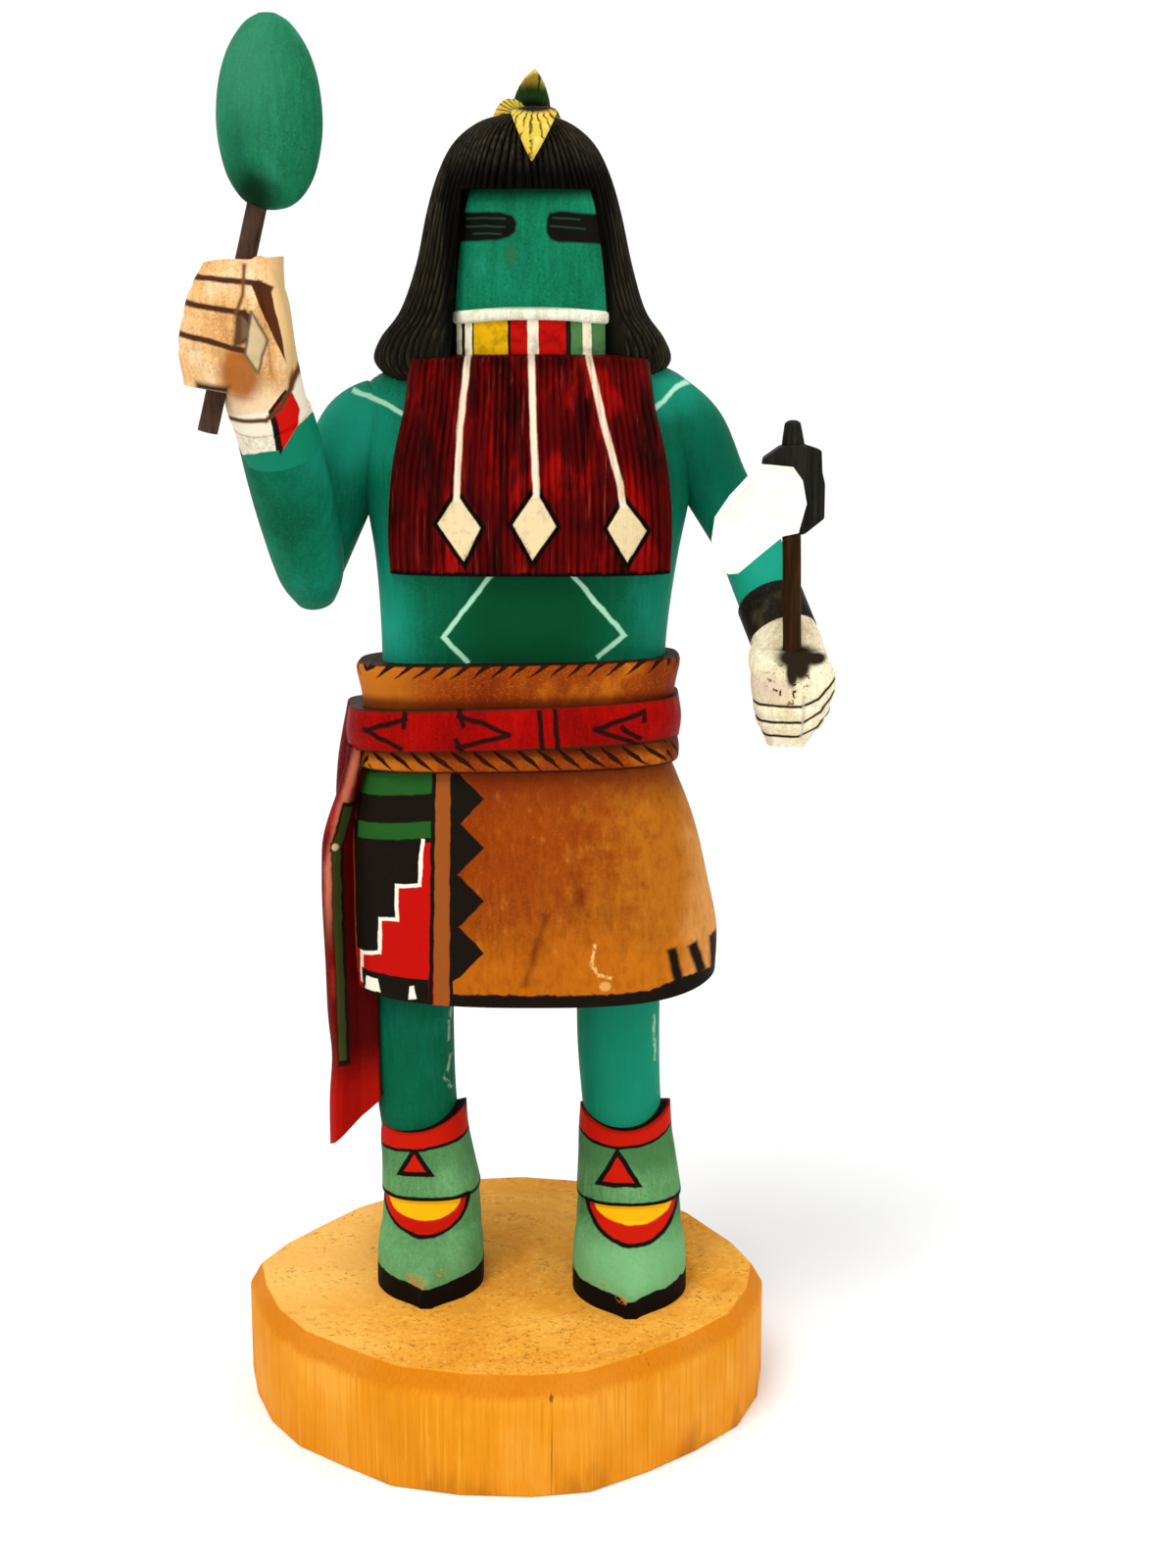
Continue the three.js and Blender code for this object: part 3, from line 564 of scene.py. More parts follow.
CUFFS = {
    "right": {"x": -15.9, "top": 55.3, "lean": 1.8, "dip": 2.3},
    "left": {"x": 23.4, "top": 56.6, "lean": 0.3, "dip": 3.6},
}
FOLDS = {"right": 40.3, "left": 39.3}

# Sage green, with the cuff band, triangle, half moon and sole drawn for both feet.
coat = Finish("moccasin_paint", (0.11, 0.29, 0.105), 0.6)
brushed(coat, (0.06, 0.18, 0.055), (0.17, 0.42, 0.17))
x, y, height = coat.axes()
leftward = coat.ramp(x, -10, 20, low=0.35)
coat.lay((0.19, 0.44, 0.19), coat.ramp(height, 37, 31, high=0.65) * leftward)
coat.lay((0.04, 0.14, 0.04), coat.ramp(height, 43, 48, high=0.75) * coat.ramp(leftward, 0.35, 1, low=0.6))
coat.drawn(facing=2, wander=0.2)
black, red, yellow = (0.006, 0.004, 0.003), (0.5, 0.01, 0.002), (0.88, 0.45, 0.004)


def half_moon(x, z, wide, deep):
    """Millimetres outside a half moon that hangs from the fold at height z."""
    place = coat.vector("SUBTRACT", coat.flat, (x, z, 1))
    round_part = coat.vector("LENGTH", coat.vector("MULTIPLY", place, (1 / wide, 1 / deep, 0)))
    away = (round_part - 1.0) * deep
    return coat.math("MAXIMUM", away, coat.axes(place)[1])


for x, z, wide, deep, filled in ((-15.4, 40.6, 8, 6.7, 4), (24.8, 39.5, 8.4, 5.8, 3.6)):
    away = half_moon(x, z, wide, deep)
    coat.lay(black, coat.edged(away - 0.6))
    coat.lay(red, coat.edged(away))
    coat.lay(yellow, coat.edged(half_moon(x, z, wide - 1, filled)))
for peak, west, east in (
    ((-17.4, 50.6), (-20.7, 45), (-13.4, 45.2)), ((21.8, 50.2), (17.5, 43.1), (26.5, 43.1)),
):
    away = coat.outside([peak, east, west])
    coat.lay(black, coat.edged(away - 0.1))
    coat.lay(red, coat.edged(away + 0.8))
x, y, z = coat.axes(coat.place)
is_left = coat.math("GREATER_THAN", x, 4)
across = x - (is_left * (CUFFS["left"]["x"] - CUFFS["right"]["x"]) + CUFFS["right"]["x"])
deep = y - 1.8
reach = coat.vector("LENGTH", coat.joined(across, deep, 0.0))
ahead = coat.math("MAXIMUM", deep * -1.0 / reach, 0.0)
behind = coat.math("MAXIMUM", deep / reach, 0.0)
side = across / reach


def cuff_line(level, lean, dip):
    """Millimetres above a line round the cuff; each value is given for the right boot and the left."""
    level, lean, dip = (coat.ramp(is_left, 0, 1, *pair) for pair in (level, lean, dip))
    dipped = ahead**1.6 * dip + behind * 3.0
    line = level + side * lean - dipped
    return z - line + coat.sway(0.3, 0.3, 70)


coat.front = 1.0
red_foot = cuff_line((50.6, 53), (1.1, 0.5), (0.3, 2.4))
coat.lay(black, coat.edged(-0.6 - red_foot))
coat.lay(red, coat.edged(red_foot * -1.0))
over = cuff_line(*([CUFFS["right"][part], CUFFS["left"][part]] for part in ("top", "lean", "dip")))
# Painted shade inside the boot's mouth.
inside = coat.math("MAXIMUM", reach - 8.5, -1.5 - over)
coat.lay(black, coat.edged(inside, 0.25))
fold = z - coat.ramp(is_left, 0, 1, FOLDS["right"] + 0.4, FOLDS["left"] + 0.4)
coat.lay(black, coat.edged(abs(fold) - 0.28))
rise = coat.math("MINIMUM", y + 12.0, 24.0) * 0.06
over_sole = z - 27.0 - (rise + coat.sway(0.5, 0.3, 20))
coat.lay(black, coat.edged(over_sole))
coat.front = coat.ramp(y, -9, -11)
worn_wood = (0.55, 0.17, 0.02)
chips = coat.ramp(coat.noise(1.3, 3), 0.48, 0.56)
for x1, z1, wide, high in (
    (-16.6, 27.5, 2.2, 0.9), (-11.8, 28.6, 0.7, 0.7), (22.4, 26, 1.0, 0.6), (19, 27.6, 0.5, 0.3),
):
    coat.lay(worn_wood, coat.round_spot(x1, z1, wide, high) * chips)
moccasin_paint = coat.finished()

carved = []


def carve(bm, name, finish):
    """Adds one form to those that are joined into the figure."""
    carved.append(piece_of(bm, name, finish))


def leg(name, top_x, foot_x):
    shin_x = foot_x + 0.6 * (top_x - foot_x)
    stations = stations_of(
        "z x y wide deep corner",
        (50, foot_x, 2, 7.6, 7.8, 2.2), (58, shin_x, 2.4, 7.7, 8, 2.2), (70, top_x, 3, 8, 8.3, 2.2),
        (88, top_x, 3, 8.1, 8.6, 2.2),
    )
    carve(upright(stations, 56, 24), name, turquoise)


def moccasin(name, x, width, toe, heel, cuff, fold_z):
    """The boot's shaft, its top edge dipping in front, folded over a flat-soled foot with a pointed toe."""
    half = width / 2

    def dipped(angle, s, t):
        front = np.maximum(0, -np.sin(angle))
        back = np.maximum(0, np.sin(angle))
        dip = -cuff["dip"] * front**1.6 - 3 * back + cuff["lean"] * np.cos(angle)
        return 1, dip * eased(t, 0.2, 1)

    shaft = stations_of(
        "z x y wide deep corner",
        (fold_z, x, 0.6, half * 0.93, 11, 2.5), (46, (x + cuff["x"]) / 2, 1.2, half * 0.87, 10.4, 2.3),
        (51, cuff["x"], 1.6, half * 0.83, 9.6, 2.2), (cuff["top"], cuff["x"], 1.8, half * 0.8, 9.3, 2.2),
    )
    carve(upright(shaft, 72, 24, dipped), name + "_shaft", moccasin_paint)
    ankle = stations_of(
        "z x y wide deep corner",
        (26, x, 0.6, half * 0.94, 11.4, 2.6), (34, x, 0.6, half * 0.93, 11.2, 2.6),
        (fold_z + 1, x, 0.6, half * 0.88, 10.5, 2.5),
    )
    carve(upright(ankle, 72, 16), name + "_ankle", moccasin_paint)
    instep = stations_of(
        "wide high",
        (0.5, 9), (0.84, 15.5), (0.95, 16.6), (1, 16), (0.95, 12.6), (0.66, 8.6), (0.1, 4.8),
    )

    def foot(t, angle, r):
        s = along_stations(instep, t)
        up = np.maximum(np.sin(angle), 0)
        toeward = eased(t, 0.5, 0.95)
        across = half * s["wide"] * squared(np.cos(angle), 3.4 - toeward) * r
        z = BASE_TOP + s["high"] * up ** (0.5 + 0.3 * toeward) * r
        return np.stack([x + across, heel - (heel - toe) * t, z], axis=1)

    carve(turned_form(72, 40, foot), name + "_foot", moccasin_paint)


leg("right_leg", top_x=-18, foot_x=-16.4)
leg("left_leg", top_x=22, foot_x=23.4)
moccasin(
    "right_moccasin", x=-14.6, width=20.6, toe=-20, heel=13, cuff=CUFFS["right"], fold_z=FOLDS["right"],
)
moccasin("left_moccasin", x=24.1, width=22, toe=-24.6, heel=12.6, cuff=CUFFS["left"], fold_z=FOLDS["left"])

# ---- kilt ----
# A short kilt that flares to its hem, carved with the body and painted rust orange, with an embroidered
# panel of green, black, white and red at the figure's right side and a black band along the hem.
HEM_Z = 82.6

# Rust orange, with the embroidered panel, the hem band and a few strokes over it.
coat = Finish("kilt_paint", (0.3, 0.055, 0.003), 0.6)
brushed(coat, (0.21, 0.03, 0.002), (0.4, 0.1, 0.006))
coat.drawn(wander=0.25)
x, y, z = coat.axes()
patchy = x + (coat.noise(0.3, 5, roughness=0.75) - 0.5) * 50
coat.lay((0.43, 0.135, 0.008), coat.ramp(patchy, 2, 36, high=0.9))
coat.lay((0.26, 0.035, 0.001), coat.ramp(z, 98, 108) * coat.ramp(patchy, 30, 10, high=0.5))
coat.lay((0.52, 0.14, 0.004), coat.ramp(z + coat.sway(5, 0.12, 50), 99, 90, high=0.6))
# Painted highlight along the kilt's left side.
near_side = x + coat.sway(3, 0.16, 60)
coat.lay((0.78, 0.38, 0.11), coat.ramp(near_side, 31.5, 39.5, high=0.6))
dabs = coat.noise(0.7, 4, stretch=(1, 1, 0.5), roughness=0.7)
coat.shade(coat.ramp(dabs, 0.52, 0.36), 0.17)
coat.lay((0.62, 0.24, 0.03), coat.ramp(dabs, 0.56, 0.74, high=0.3))
# Painted shade at the top of the kilt, under the rolls.
coat.lay((0.15, 0.015, 0.002), coat.ramp(z, 117, 126, high=0.75))
black, green, red = (0.008, 0.005, 0.003), (0.014, 0.085, 0.012), (0.46, 0.004, 0.002)
white, tan = (0.82, 0.78, 0.62), (0.28, 0.07, 0.011)
hem = coat.ramp(x, 26, 35, high=1.7)
jagged = coat.sway(0.5, 0.45, 12) + (HEM_Z + 2.35)
under_hem = z - (hem + jagged)
coat.lay(black, coat.edged(under_hem, 0.2))
coat.front = coat.ramp(y, -3, -4.5)
leaves = ([(31.8, 91.4), (32.9, 86.4)], [(35.8, 91.6), (37.2, 87.4)], [(39.8, 92), (40.1, 87)])
coat.draw(black, *leaves, wide=1.9, soft=0.45)
scuffs = coat.ramp(coat.noise(1.4, 3), 0.4, 0.56)
scuff = coat.stroke((17.3, 94), (16.7, 90.6), (18, 88.6), (20.2, 88), wide=0.6, soft=0.25)
coat.lay((0.78, 0.45, 0.14), scuff * scuffs)
coat.front = coat.ramp(y, 4, 2)
coat.lay((0.68, 0.34, 0.09), coat.round_spot(19.3, 86.4, 1, 0.8) * 0.85)
coat.draw((0.1, 0.015, 0.001), [(8.4, 99.5), (4.6, 87)], wide=0.9, soft=0.8, over=0.65)
coat.lay((0.12, 0.015, 0.001), coat.round_spot(14.6, 103.4, 1, 3, soft=0.8) * 0.5)
coat.fill(red, (-27.6, 113), (-12.2, 115), (-12.2, 80), (-27.6, 80))
coat.fill(black, (-27.2, 126), (-11.9, 126.4), (-12.5, 112.8), (-27.2, 109.5))
steps = [
    (-14.2, 112.9), (-14.8, 104.8), (-19.1, 104.2), (-19.2, 98), (-22.4, 97.5), (-22.7, 91), (-26.4, 89.8),
]
for (x1, z1), (x2, z2) in zip(steps[::2], steps[1::2]):
    coat.fill(black, (-27.6, 115), (x1, z1), (x2, z2), (-27.6, z2 - 0.9))
coat.draw(white, [*steps, (-26.5, 84.1)], wide=0.7)
for top, foot in ((124.9, 120.7), (115.9, 112.7)):
    coat.lay(
        green,
        coat.patch(
            (-26.8, top - 0.9), (-11.9, top + 0.9), (-11.9, foot + 0.9), (-26.8, foot - 0.9), grow=-0.1,
        ),
    )
coat.fill(black, (-26.4, 86.9), (-13.2, 87.3), (-13.2, 80), (-26.4, 80))
for x1, x2 in ((-25.9, -22.6), (-17.2, -15.6)):
    coat.fill(white, (x1 + 0.3, 85.6), (x2 - 0.5, 85.8), (x2, 83.3), (x1, 83))
coat.fill(tan, (-11.9, 126.4), (-8.7, 126.4), (-9.3, 80), (-12.3, 80))
coat.draw(black, [(-12, 126), (-12.9, 82.6)], wide=0.8)
coat.draw(black, [(-8.5, 126), (-9.1, 82.6)], wide=0.7)
for apex in (120.8, 112, 102.3, 92.8):
    coat.fill(
        black, (-9, apex + 5.4), (-7.4, apex + 4.5), (-2.9, apex), (-7.4, apex - 4.7), (-9, apex - 5.6),
    )
kilt_paint = coat.finished()


def hem_lift(angle, s, t):
    """Lifts the hem a little at the figure's left side."""
    return 1, 2.2 * np.maximum(0, np.cos(angle)) ** 4 * (1 - eased(t, 0, 0.5))


KILT = stations_of(
    "z x y wide deep corner",
    (HEM_Z, 6.2, 0.8, 34.3, 22.6, 2.5), (92, 6, 0.8, 34.7, 21.8, 2.5), (103, 5, 0.6, 33.7, 20.4, 2.6),
    (114, 3.8, 0.4, 32.2, 18.6, 2.7), (126.4, 2.9, 0.4, 28.2, 16.4, 2.8),
)
carve(upright(KILT, 140, 36, hem_lift), "kilt_skirt", kilt_paint)

# ---- waist: the kilt's turned-over edge and the red belt ----
# Two rolls of the kilt's top edge stand above and below a red belt, all carved in the round. The rolls are
# rust orange with short slanting cuts blackened, and the belt has dark brown arrow heads and two bars on it.
BELT_Z = 132.6


def round_waist(coat, tilt):
    """Millimetres round the waist, across its front and back and along its sides, and its own height."""
    x, y, z = coat.axes()
    on_side = coat.math("GREATER_THAN", abs(x - 3.1), 27.5)
    turned = (y - x) * on_side + x
    lean = coat.vector("DOT_PRODUCT", coat.place, (-tilt, 0.05, 1))
    return turned + coat.sway(0.8, 0.2, 9), lean + 3.1 * tilt


# Rust orange, with short slanting cuts blackened along one roll's top edge and the other's middle.
coat = Finish("roll_paint", (0.28, 0.042, 0.0025), 0.6)
brushed(coat, (0.2, 0.022, 0.002), (0.56, 0.15, 0.008), size=0.1)
across, level = round_waist(coat, 0.02)
coat.lay((0.56, 0.17, 0.01), coat.ramp(coat.axes()[0], -8, -24, high=0.8))
# Painted shade on the rolls next to the belt.
coat.lay((0.12, 0.014, 0.002), coat.ramp(abs(level - 133), 6.5, 4.5, high=0.8))
drop = 144.8 - level
beat = (across + drop * 1.25) / 3.5
off = abs(coat.math("FRACT", beat) - 0.5) * 3.5
taper = (2.7 - drop) * 0.28
upper_cuts = coat.edged(coat.math("MAXIMUM", off - taper, drop - 2.5))
coat.lay((0.02, 0.005, 0.002), upper_cuts)
coat.lay((0.02, 0.006, 0.002), coat.edged(drop - 0.35))
beat = (across + level * 1.2) / 3.9
off = abs(coat.math("FRACT", beat) - 0.5) * 3.9
centre = abs(level - 127.3)
lower_cuts = coat.edged(off + centre * 0.35 - 0.75)
coat.lay((0.02, 0.005, 0.002), lower_cuts)
coat.lay((0.03, 0.008, 0.003), coat.edged(level - 125.3, 0.25))
coat.dent(coat.math("MAXIMUM", upper_cuts, lower_cuts), -0.25)
roll_paint = coat.finished()

# Bright red between two dark lines, with arrow heads and a pair of bars drawn in dark brown.
coat = Finish("belt_paint", (0.32, 0.001, 0.0005), 0.5)
brushed(coat, (0.23, 0.001, 0.0005), (0.43, 0.004, 0.001), size=0.12)
across, level = round_waist(coat, 0.036)
edge = abs(level - (BELT_Z + 0.5))
coat.lay((0.035, 0.012, 0.004), coat.ramp(edge, 3.3, 3.8))
coat.drawn(facing=-4, wander=0.25)
arrows_and_bars = (
    [(-17, 135.6), (-24.6, 132.9), (-18, 130.2)], [(-17, 136.4), (-17.3, 134.2)],
    [(-7, 136.4), (-3.2, 135.3), (1.8, 133), (-7.5, 130.6)], [(-7, 137.2), (-6.4, 134.9)],
    [(-7.7, 132), (-6.9, 130.2)], [(7.4, 137), (7.9, 130.3)], [(10.1, 137.2), (10.7, 130)],
    [(26.3, 135), (26.3, 136.5), (17.4, 133.9), (25.8, 130.5)],
    [(22.4, 133.9), (23.8, 132.8), (25.6, 131.9)],
)
coat.draw((0.02, 0.003, 0.002), *arrows_and_bars, wide=0.95, soft=0.2)
belt_paint = coat.finished()


def waist_ring(name, stations, finish, x=3.1, side=0.6):
    """A ring round the waist, higher by side at the figure's left, and its front higher than its back."""

    def lean(angle, s, t):
        return 1, side * np.cos(angle) - 0.9 * np.sin(angle)

    ring = [{"x": x, "y": 0.4, "corner": 2.8, **s} for s in stations]
    carve(upright(ring, 140, 10, lean), name, finish)


waist_ring(
    "lower_roll",
    stations_of(
        "z wide deep",
        (124.8, 29.2, 17.6), (125.4, 30, 18.4), (127.6, 30.1, 18.5), (130, 29.6, 17.7),
    ),
    roll_paint,
)
waist_ring(
    "upper_roll",
    stations_of(
        "z wide deep",
        (134, 28.9, 17), (139, 29.3, 17.6), (143.4, 30.2, 18.4), (144.6, 29.7, 17.9),
    ),
    roll_paint,
)
waist_ring(
    "belt",
    stations_of("z wide deep", (BELT_Z - 3.4, 31, 19.2), (BELT_Z, 31.4, 19.6), (BELT_Z + 4.3, 30.8, 19)),
    belt_paint, x=2.2, side=1.1,
)

# ---- sash ----
# The belt's end hangs from a knot at the figure's right side as a thick red strap, with a slanted foot and a
# narrow green stripe down the facet at its front corner.
SASH = {"foot": 51.2, "head": 129, "rings": 50}
SASH_PLAN = [
    (-24, -4.5), (-27.6, -5.6), (-30.7, -9.6), (-32, -10.2), (-33.4, -8), (-33.4, 9), (-32.4, 11),
    (-24, 11),
]

# Deep red, with a painted pinkish highlight down the outer facet and painted shade on the inner face by the
# leg, and the green stripe drawn down the front corner.
coat = Finish("sash_paint", (0.14, 0.001, 0.0005), 0.55)
brushed(coat, (0.09, 0.002, 0.001), (0.34, 0.02, 0.01), size=0.09)
x, y, z = coat.axes()
# Painted shade on the inner face by the leg.
coat.lay((0.07, 0.001, 0.0005), coat.ramp(x, -30.6, -29.4, high=0.9) * coat.ramp(z, 64, 72))
coat.drawn(facing=-3, wander=0.3)
# Painted pinkish highlight down the outer facet.
pink_highlight = coat.stroke((-26, 129), (-29.6, 117), (-32.2, 106), (-32.6, 84), wide=1.6, soft=0.7)
coat.lay((0.5, 0.13, 0.07), pink_highlight * coat.ramp(z, 88, 104))
coat.lay((0.38, 0.005, 0.002), coat.ramp(z, 71, 60, high=0.9))
coat.draw(
    (0.012, 0.004, 0.002), [(-28.6, 117.5), (-30.7, 110), (-30.6, 94), (-30.2, 68.4)], wide=2.1, soft=0.25,
)
coat.draw((0.035, 0.045, 0.009), [(-28.6, 117), (-30.8, 109.4), (-30.8, 94), (-30.4, 69.2)], wide=1.3)
coat.lay((0.7, 0.5, 0.25), coat.round_spot(-30.9, 110, 0.6, 0.7) * 0.9)
sash_paint = coat.finished()

sash = bmesh.new()
sash.faces.new([sash.verts.new((x, y, 0)) for x, y in SASH_PLAN])
blunted(sash, sash.verts[:], 0.35, affect="VERTICES")
drawn_out(sash, (0, 0, SASH["head"] - SASH["foot"]))
upright_edges = [e for e in sash.edges if abs(e.verts[0].co.z - e.verts[1].co.z) > 1]
bmesh.ops.subdivide_edges(sash, edges=upright_edges, cuts=SASH["rings"], use_grid_fill=True)
for vert in sash.verts:
    x, z = vert.co.x, vert.co.z + SASH["foot"]
    bulge = 0.7 * math.exp(-(((z - 69) / 6) ** 2)) - 0.5 * math.exp(-(((z - 101) / 12) ** 2))
    slant = (x + 33.4) * 0.8 * (1 - eased(z, SASH["foot"], 68))
    vert.co.x = x + (4.8 * eased(z, 109, 129) + bulge) * eased(-x, 26, 31)
    vert.co.z = z + slant
carve(sash, "sash_strap", sash_paint)
knot = stations_of(
    "z x y wide deep corner",
    (103, -26, 10, 3.2, 4, 2.2), (112, -26.6, 8, 5.6, 6, 2.2), (123, -26, 8, 6, 6.4, 2.2),
    (135, -25, 8, 4.8, 6, 2.2),
)
carve(upright(knot, 48, 24), "sash_knot", sash_paint)

# ---- torso and arms ----
# A flat-fronted trunk with squared shoulders, the right arm bent up and the left held out and down, all
# painted turquoise, with a white and red bracelet at the right wrist and a black cuff at the left.
TORSO = stations_of(
    "z x y wide deep corner",
    (138, 3.9, 2, 26.3, 15, 2.9), (150, 4.2, 2, 26.7, 14.8, 2.9), (163, 4.7, 2, 28, 14.8, 2.8),
    (176, 5, 2, 30.2, 14.4, 2.7), (188, 5, 2, 31, 13, 2.5), (195, 5.2, 2.4, 29.4, 10.6, 2.3),
    (198.6, 5.6, 2.8, 23, 8, 2.2),
)
carve(upright(TORSO, 96, 36), "trunk", turquoise)


def band_the_wrist(coat):
    """Draws the red block beside a black line, the arm's paint up to them, and the line round the wrist."""
    coat.fill((0.01, 0.006, 0.004), (-38.6, 191.2), (-35.6, 195), (-34, 190), (-35.2, 181), (-37.7, 181))
    coat.fill(
        (0.6, 0.006, 0.004), (-37.7, 191.6), (-34.8, 194.6), (-33.7, 191.4), (-34.3, 188), (-36.6, 183),
    )
    arm_paint = (0.005, 0.2, 0.11)
    coat.fill(arm_paint, (-50, 182.5), (-43.9, 183.4), (-37.5, 184.6), (-37.5, 176), (-50, 176))
    coat.fill(arm_paint, (-37.7, 184.7), (-34.3, 188.3), (-31, 193.4), (-24, 196), (-24, 176), (-37.7, 176))
    wrist_line = [(-47, 190), (-43.2, 189.5), (-39.2, 189.6), (-36.8, 191.5), (-34.8, 195.2), (-33.6, 199)]
    coat.draw((0.12, 0.04, 0.015), wrist_line, wide=0.8, soft=0.25)


# Cream white with a block of red beside a black line.
coat = Finish("bracelet_paint", (0.88, 0.8, 0.62), 0.5)
brushed(coat, (0.74, 0.62, 0.42), (0.97, 0.93, 0.82), size=0.15, grain=0.03)
coat.drawn(facing=-12, wander=0.2)
band_the_wrist(coat)
bracelet_paint = coat.finished()

# Black, rubbed to brown, with dry reddish wood showing at its lower edge.
coat = Finish("cuff_paint", (0.014, 0.011, 0.007), 0.5)
brushed(coat, (0.008, 0.006, 0.004), (0.05, 0.038, 0.02), size=0.3)
coat.drawn(facing=-2, wander=0.3)
coat.draw((0.2, 0.05, 0.02), [(50.6, 152.6), (56.6, 151.4)], wide=1.4, soft=0.5)
cuff_paint = coat.finished()

RIGHT_UPPER_ARM = stations_of(
    "x y z wide deep",
    (-20.4, 2.4, 190.8, 6, 6.8), (-26.2, 2.6, 185.4, 7.8, 8.4), (-31.2, 2.8, 173, 6.9, 7.8),
    (-34.9, 1.6, 161.5, 5.6, 7), (-35, 0.8, 155.8, 3.8, 4.4),
)
RIGHT_FOREARM = stations_of(
    "x y z wide deep",
    (-34.9, 2.2, 155.4, 3.8, 3.6), (-35.2, -1.4, 160.6, 6.1, 6), (-36.2, -8, 170.4, 7.2, 6.6),
    (-37.8, -14.2, 180.4, 7.2, 6.5), (-39.3, -20.2, 190, 6.7, 6.1),
)
BRACELET = stations_of("x y z wide deep", (-38, -16.6, 184.3, 7.2, 6.9), (-39.2, -20.4, 190.2, 7.1, 6.7))
LEFT_ARM = stations_of(
    "x y z wide deep",
    (29, 2.4, 191.4, 6.4, 7), (34.6, 2.6, 185.6, 7.1, 8.2), (39.8, 3, 176, 6.2, 7.4),
    (45.6, 2.4, 166, 5.9, 6.8), (49.2, -2, 157.4, 5.9, 6.4), (52, -9.4, 149.8, 5.9, 6),
)
CUFF = stations_of("x y z wide deep", (49.8, -4.4, 155.2, 6.3, 6.7), (51.9, -9.4, 149.8, 6.3, 6.4))
carve(limb(RIGHT_UPPER_ARM, 48, 36), "right_upper_arm", turquoise)
carve(limb(RIGHT_FOREARM, 48, 32), "right_forearm", turquoise)
carve(limb(BRACELET, 56, 4), "bracelet_band", bracelet_paint)
carve(limb(LEFT_ARM, 48, 44), "left_arm", turquoise)
carve(limb(CUFF, 56, 4), "cuff_band", cuff_paint)

# ---- hands ----
# Each hand is a blocky fist closed round a stick, with three shallow cuts between its fingers and a thumb
# laid across. The right one is left nearly bare wood and the left one is painted cream.

# Pale tan wood with dark cuts between the fingers, a stained palm, painted shade in the gap inside the thumb
# and a painted shadow where the stick comes out under the fist.
coat = Finish("bare_hand_wood", (0.78, 0.44, 0.17), 0.6)
brushed(coat, (0.6, 0.29, 0.09), (0.92, 0.68, 0.42), size=0.14, grain=0.1)
coat.drawn(facing=-20, wander=0.18)
coat.lay((0.95, 0.74, 0.48), coat.ramp(coat.axes()[2], 198, 192, high=0.7))
coat.fill((0.7, 0.46, 0.2), (-38, 217), (-34, 217), (-32, 205), (-33, 196), (-35.6, 200), (-37.2, 211))
coat.lay((0.34, 0.09, 0.006), coat.round_spot(-42.8, 197.6, 3.4, 4.4, soft=0.35) * 0.92)
coat.fill((0.09, 0.04, 0.018), (-43, 208), (-40.2, 207.8), (-40.1, 203), (-43.7, 202), soft=0.5)
coat.fill((0.16, 0.09, 0.045), (-42, 207), (-40.8, 206.6), (-40.8, 203.8), (-42.2, 203.4), soft=0.4)
# Painted shade in the gap inside the thumb.
coat.fill((0.08, 0.02, 0.007), (-40.4, 212.8), (-37.2, 212), (-35.8, 206.2), (-34.9, 199.6), (-39.2, 209.2))
finger_cuts = (
    [(-51, 213.8), (-43.7, 213.1), (-38.9, 212.6), (-37.2, 211.8)],
    [(-52, 209.5), (-44.3, 208.1), (-41.6, 207.8), (-40.3, 206.2)],
    [(-53, 204.3), (-47.7, 203.1), (-43.9, 202), (-41.5, 201.5)],
)
coat.draw((0.06, 0.02, 0.008), *finger_cuts, wide=1.0, soft=0.25)
coat.draw((0.16, 0.055, 0.016), [(-41.5, 215.6), (-41.8, 210.5), (-42.9, 207.8)], wide=0.6, soft=0.3)
diamond = [(-40.3, 208), (-37.9, 203.3), (-39.7, 197.8), (-41.6, 200.9)]
coat.fill((0.58, 0.43, 0.24), *diamond)
coat.draw((0.13, 0.09, 0.05), [*diamond, diamond[0]], wide=0.4, soft=0.25)
# Painted shadow where the stick comes out under the fist.
coat.draw((0.02, 0.008, 0.004), [(-49.8, 195.6), (-47.4, 195.2), (-45.4, 195)], wide=1.3, soft=0.7)
coat.fill((0.88, 0.8, 0.62), (-49, 190), (-37.8, 191.2), (-37.7, 178), (-49, 178))
coat.fill((0.88, 0.8, 0.62), (-37.8, 191.2), (-32.6, 199.4), (-27, 199.4), (-27, 178), (-37.8, 178))
band_the_wrist(coat)
bare_hand = coat.finished()

# Cream paint with thin dark cuts between the fingers and black stain run down round the handle.
coat = Finish("cream_hand_paint", (0.88, 0.77, 0.5), 0.55)
brushed(coat, (0.68, 0.52, 0.3), (0.97, 0.9, 0.68), size=0.2, grain=0.05)
coat.drawn(facing=-10, wander=0.18)
coat.lay((0.5, 0.34, 0.26), coat.round_spot(48.9, 142.6, 3, 2.6, soft=0.6) * 0.55)
dark = (0.02, 0.012, 0.006)
finger_cuts = (
    [(46, 139.3), (53.8, 139.2), (57, 140.6), (60, 143.6)],
    [(46, 136.3), (54.3, 136.3), (57.4, 138.2), (60, 141.4)],
    [(46.4, 133.6), (53.7, 133.5), (57, 135.3), (60, 138.6)],
)
coat.draw(dark, *finger_cuts, wide=0.5, soft=0.16)
coat.draw((0.45, 0.42, 0.36), [(54.3, 141), (54.2, 133)], wide=0.3, soft=0.3)
for x1, z1, wide, high in (
    (53.4, 147.5, 3.8, 1.9), (56.8, 147.3, 2, 1), (52.2, 145, 1, 2.2), (53.8, 145.8, 1.6, 1.9),
):
    coat.lay(dark, coat.round_spot(x1, z1, wide, high, soft=0.35))
coat.lay(dark, coat.round_spot(52, 143, 4.4, 4, soft=0.5) * coat.ramp(coat.noise(1.1, 2), 0.6, 0.66))
cream_hand = coat.finished()


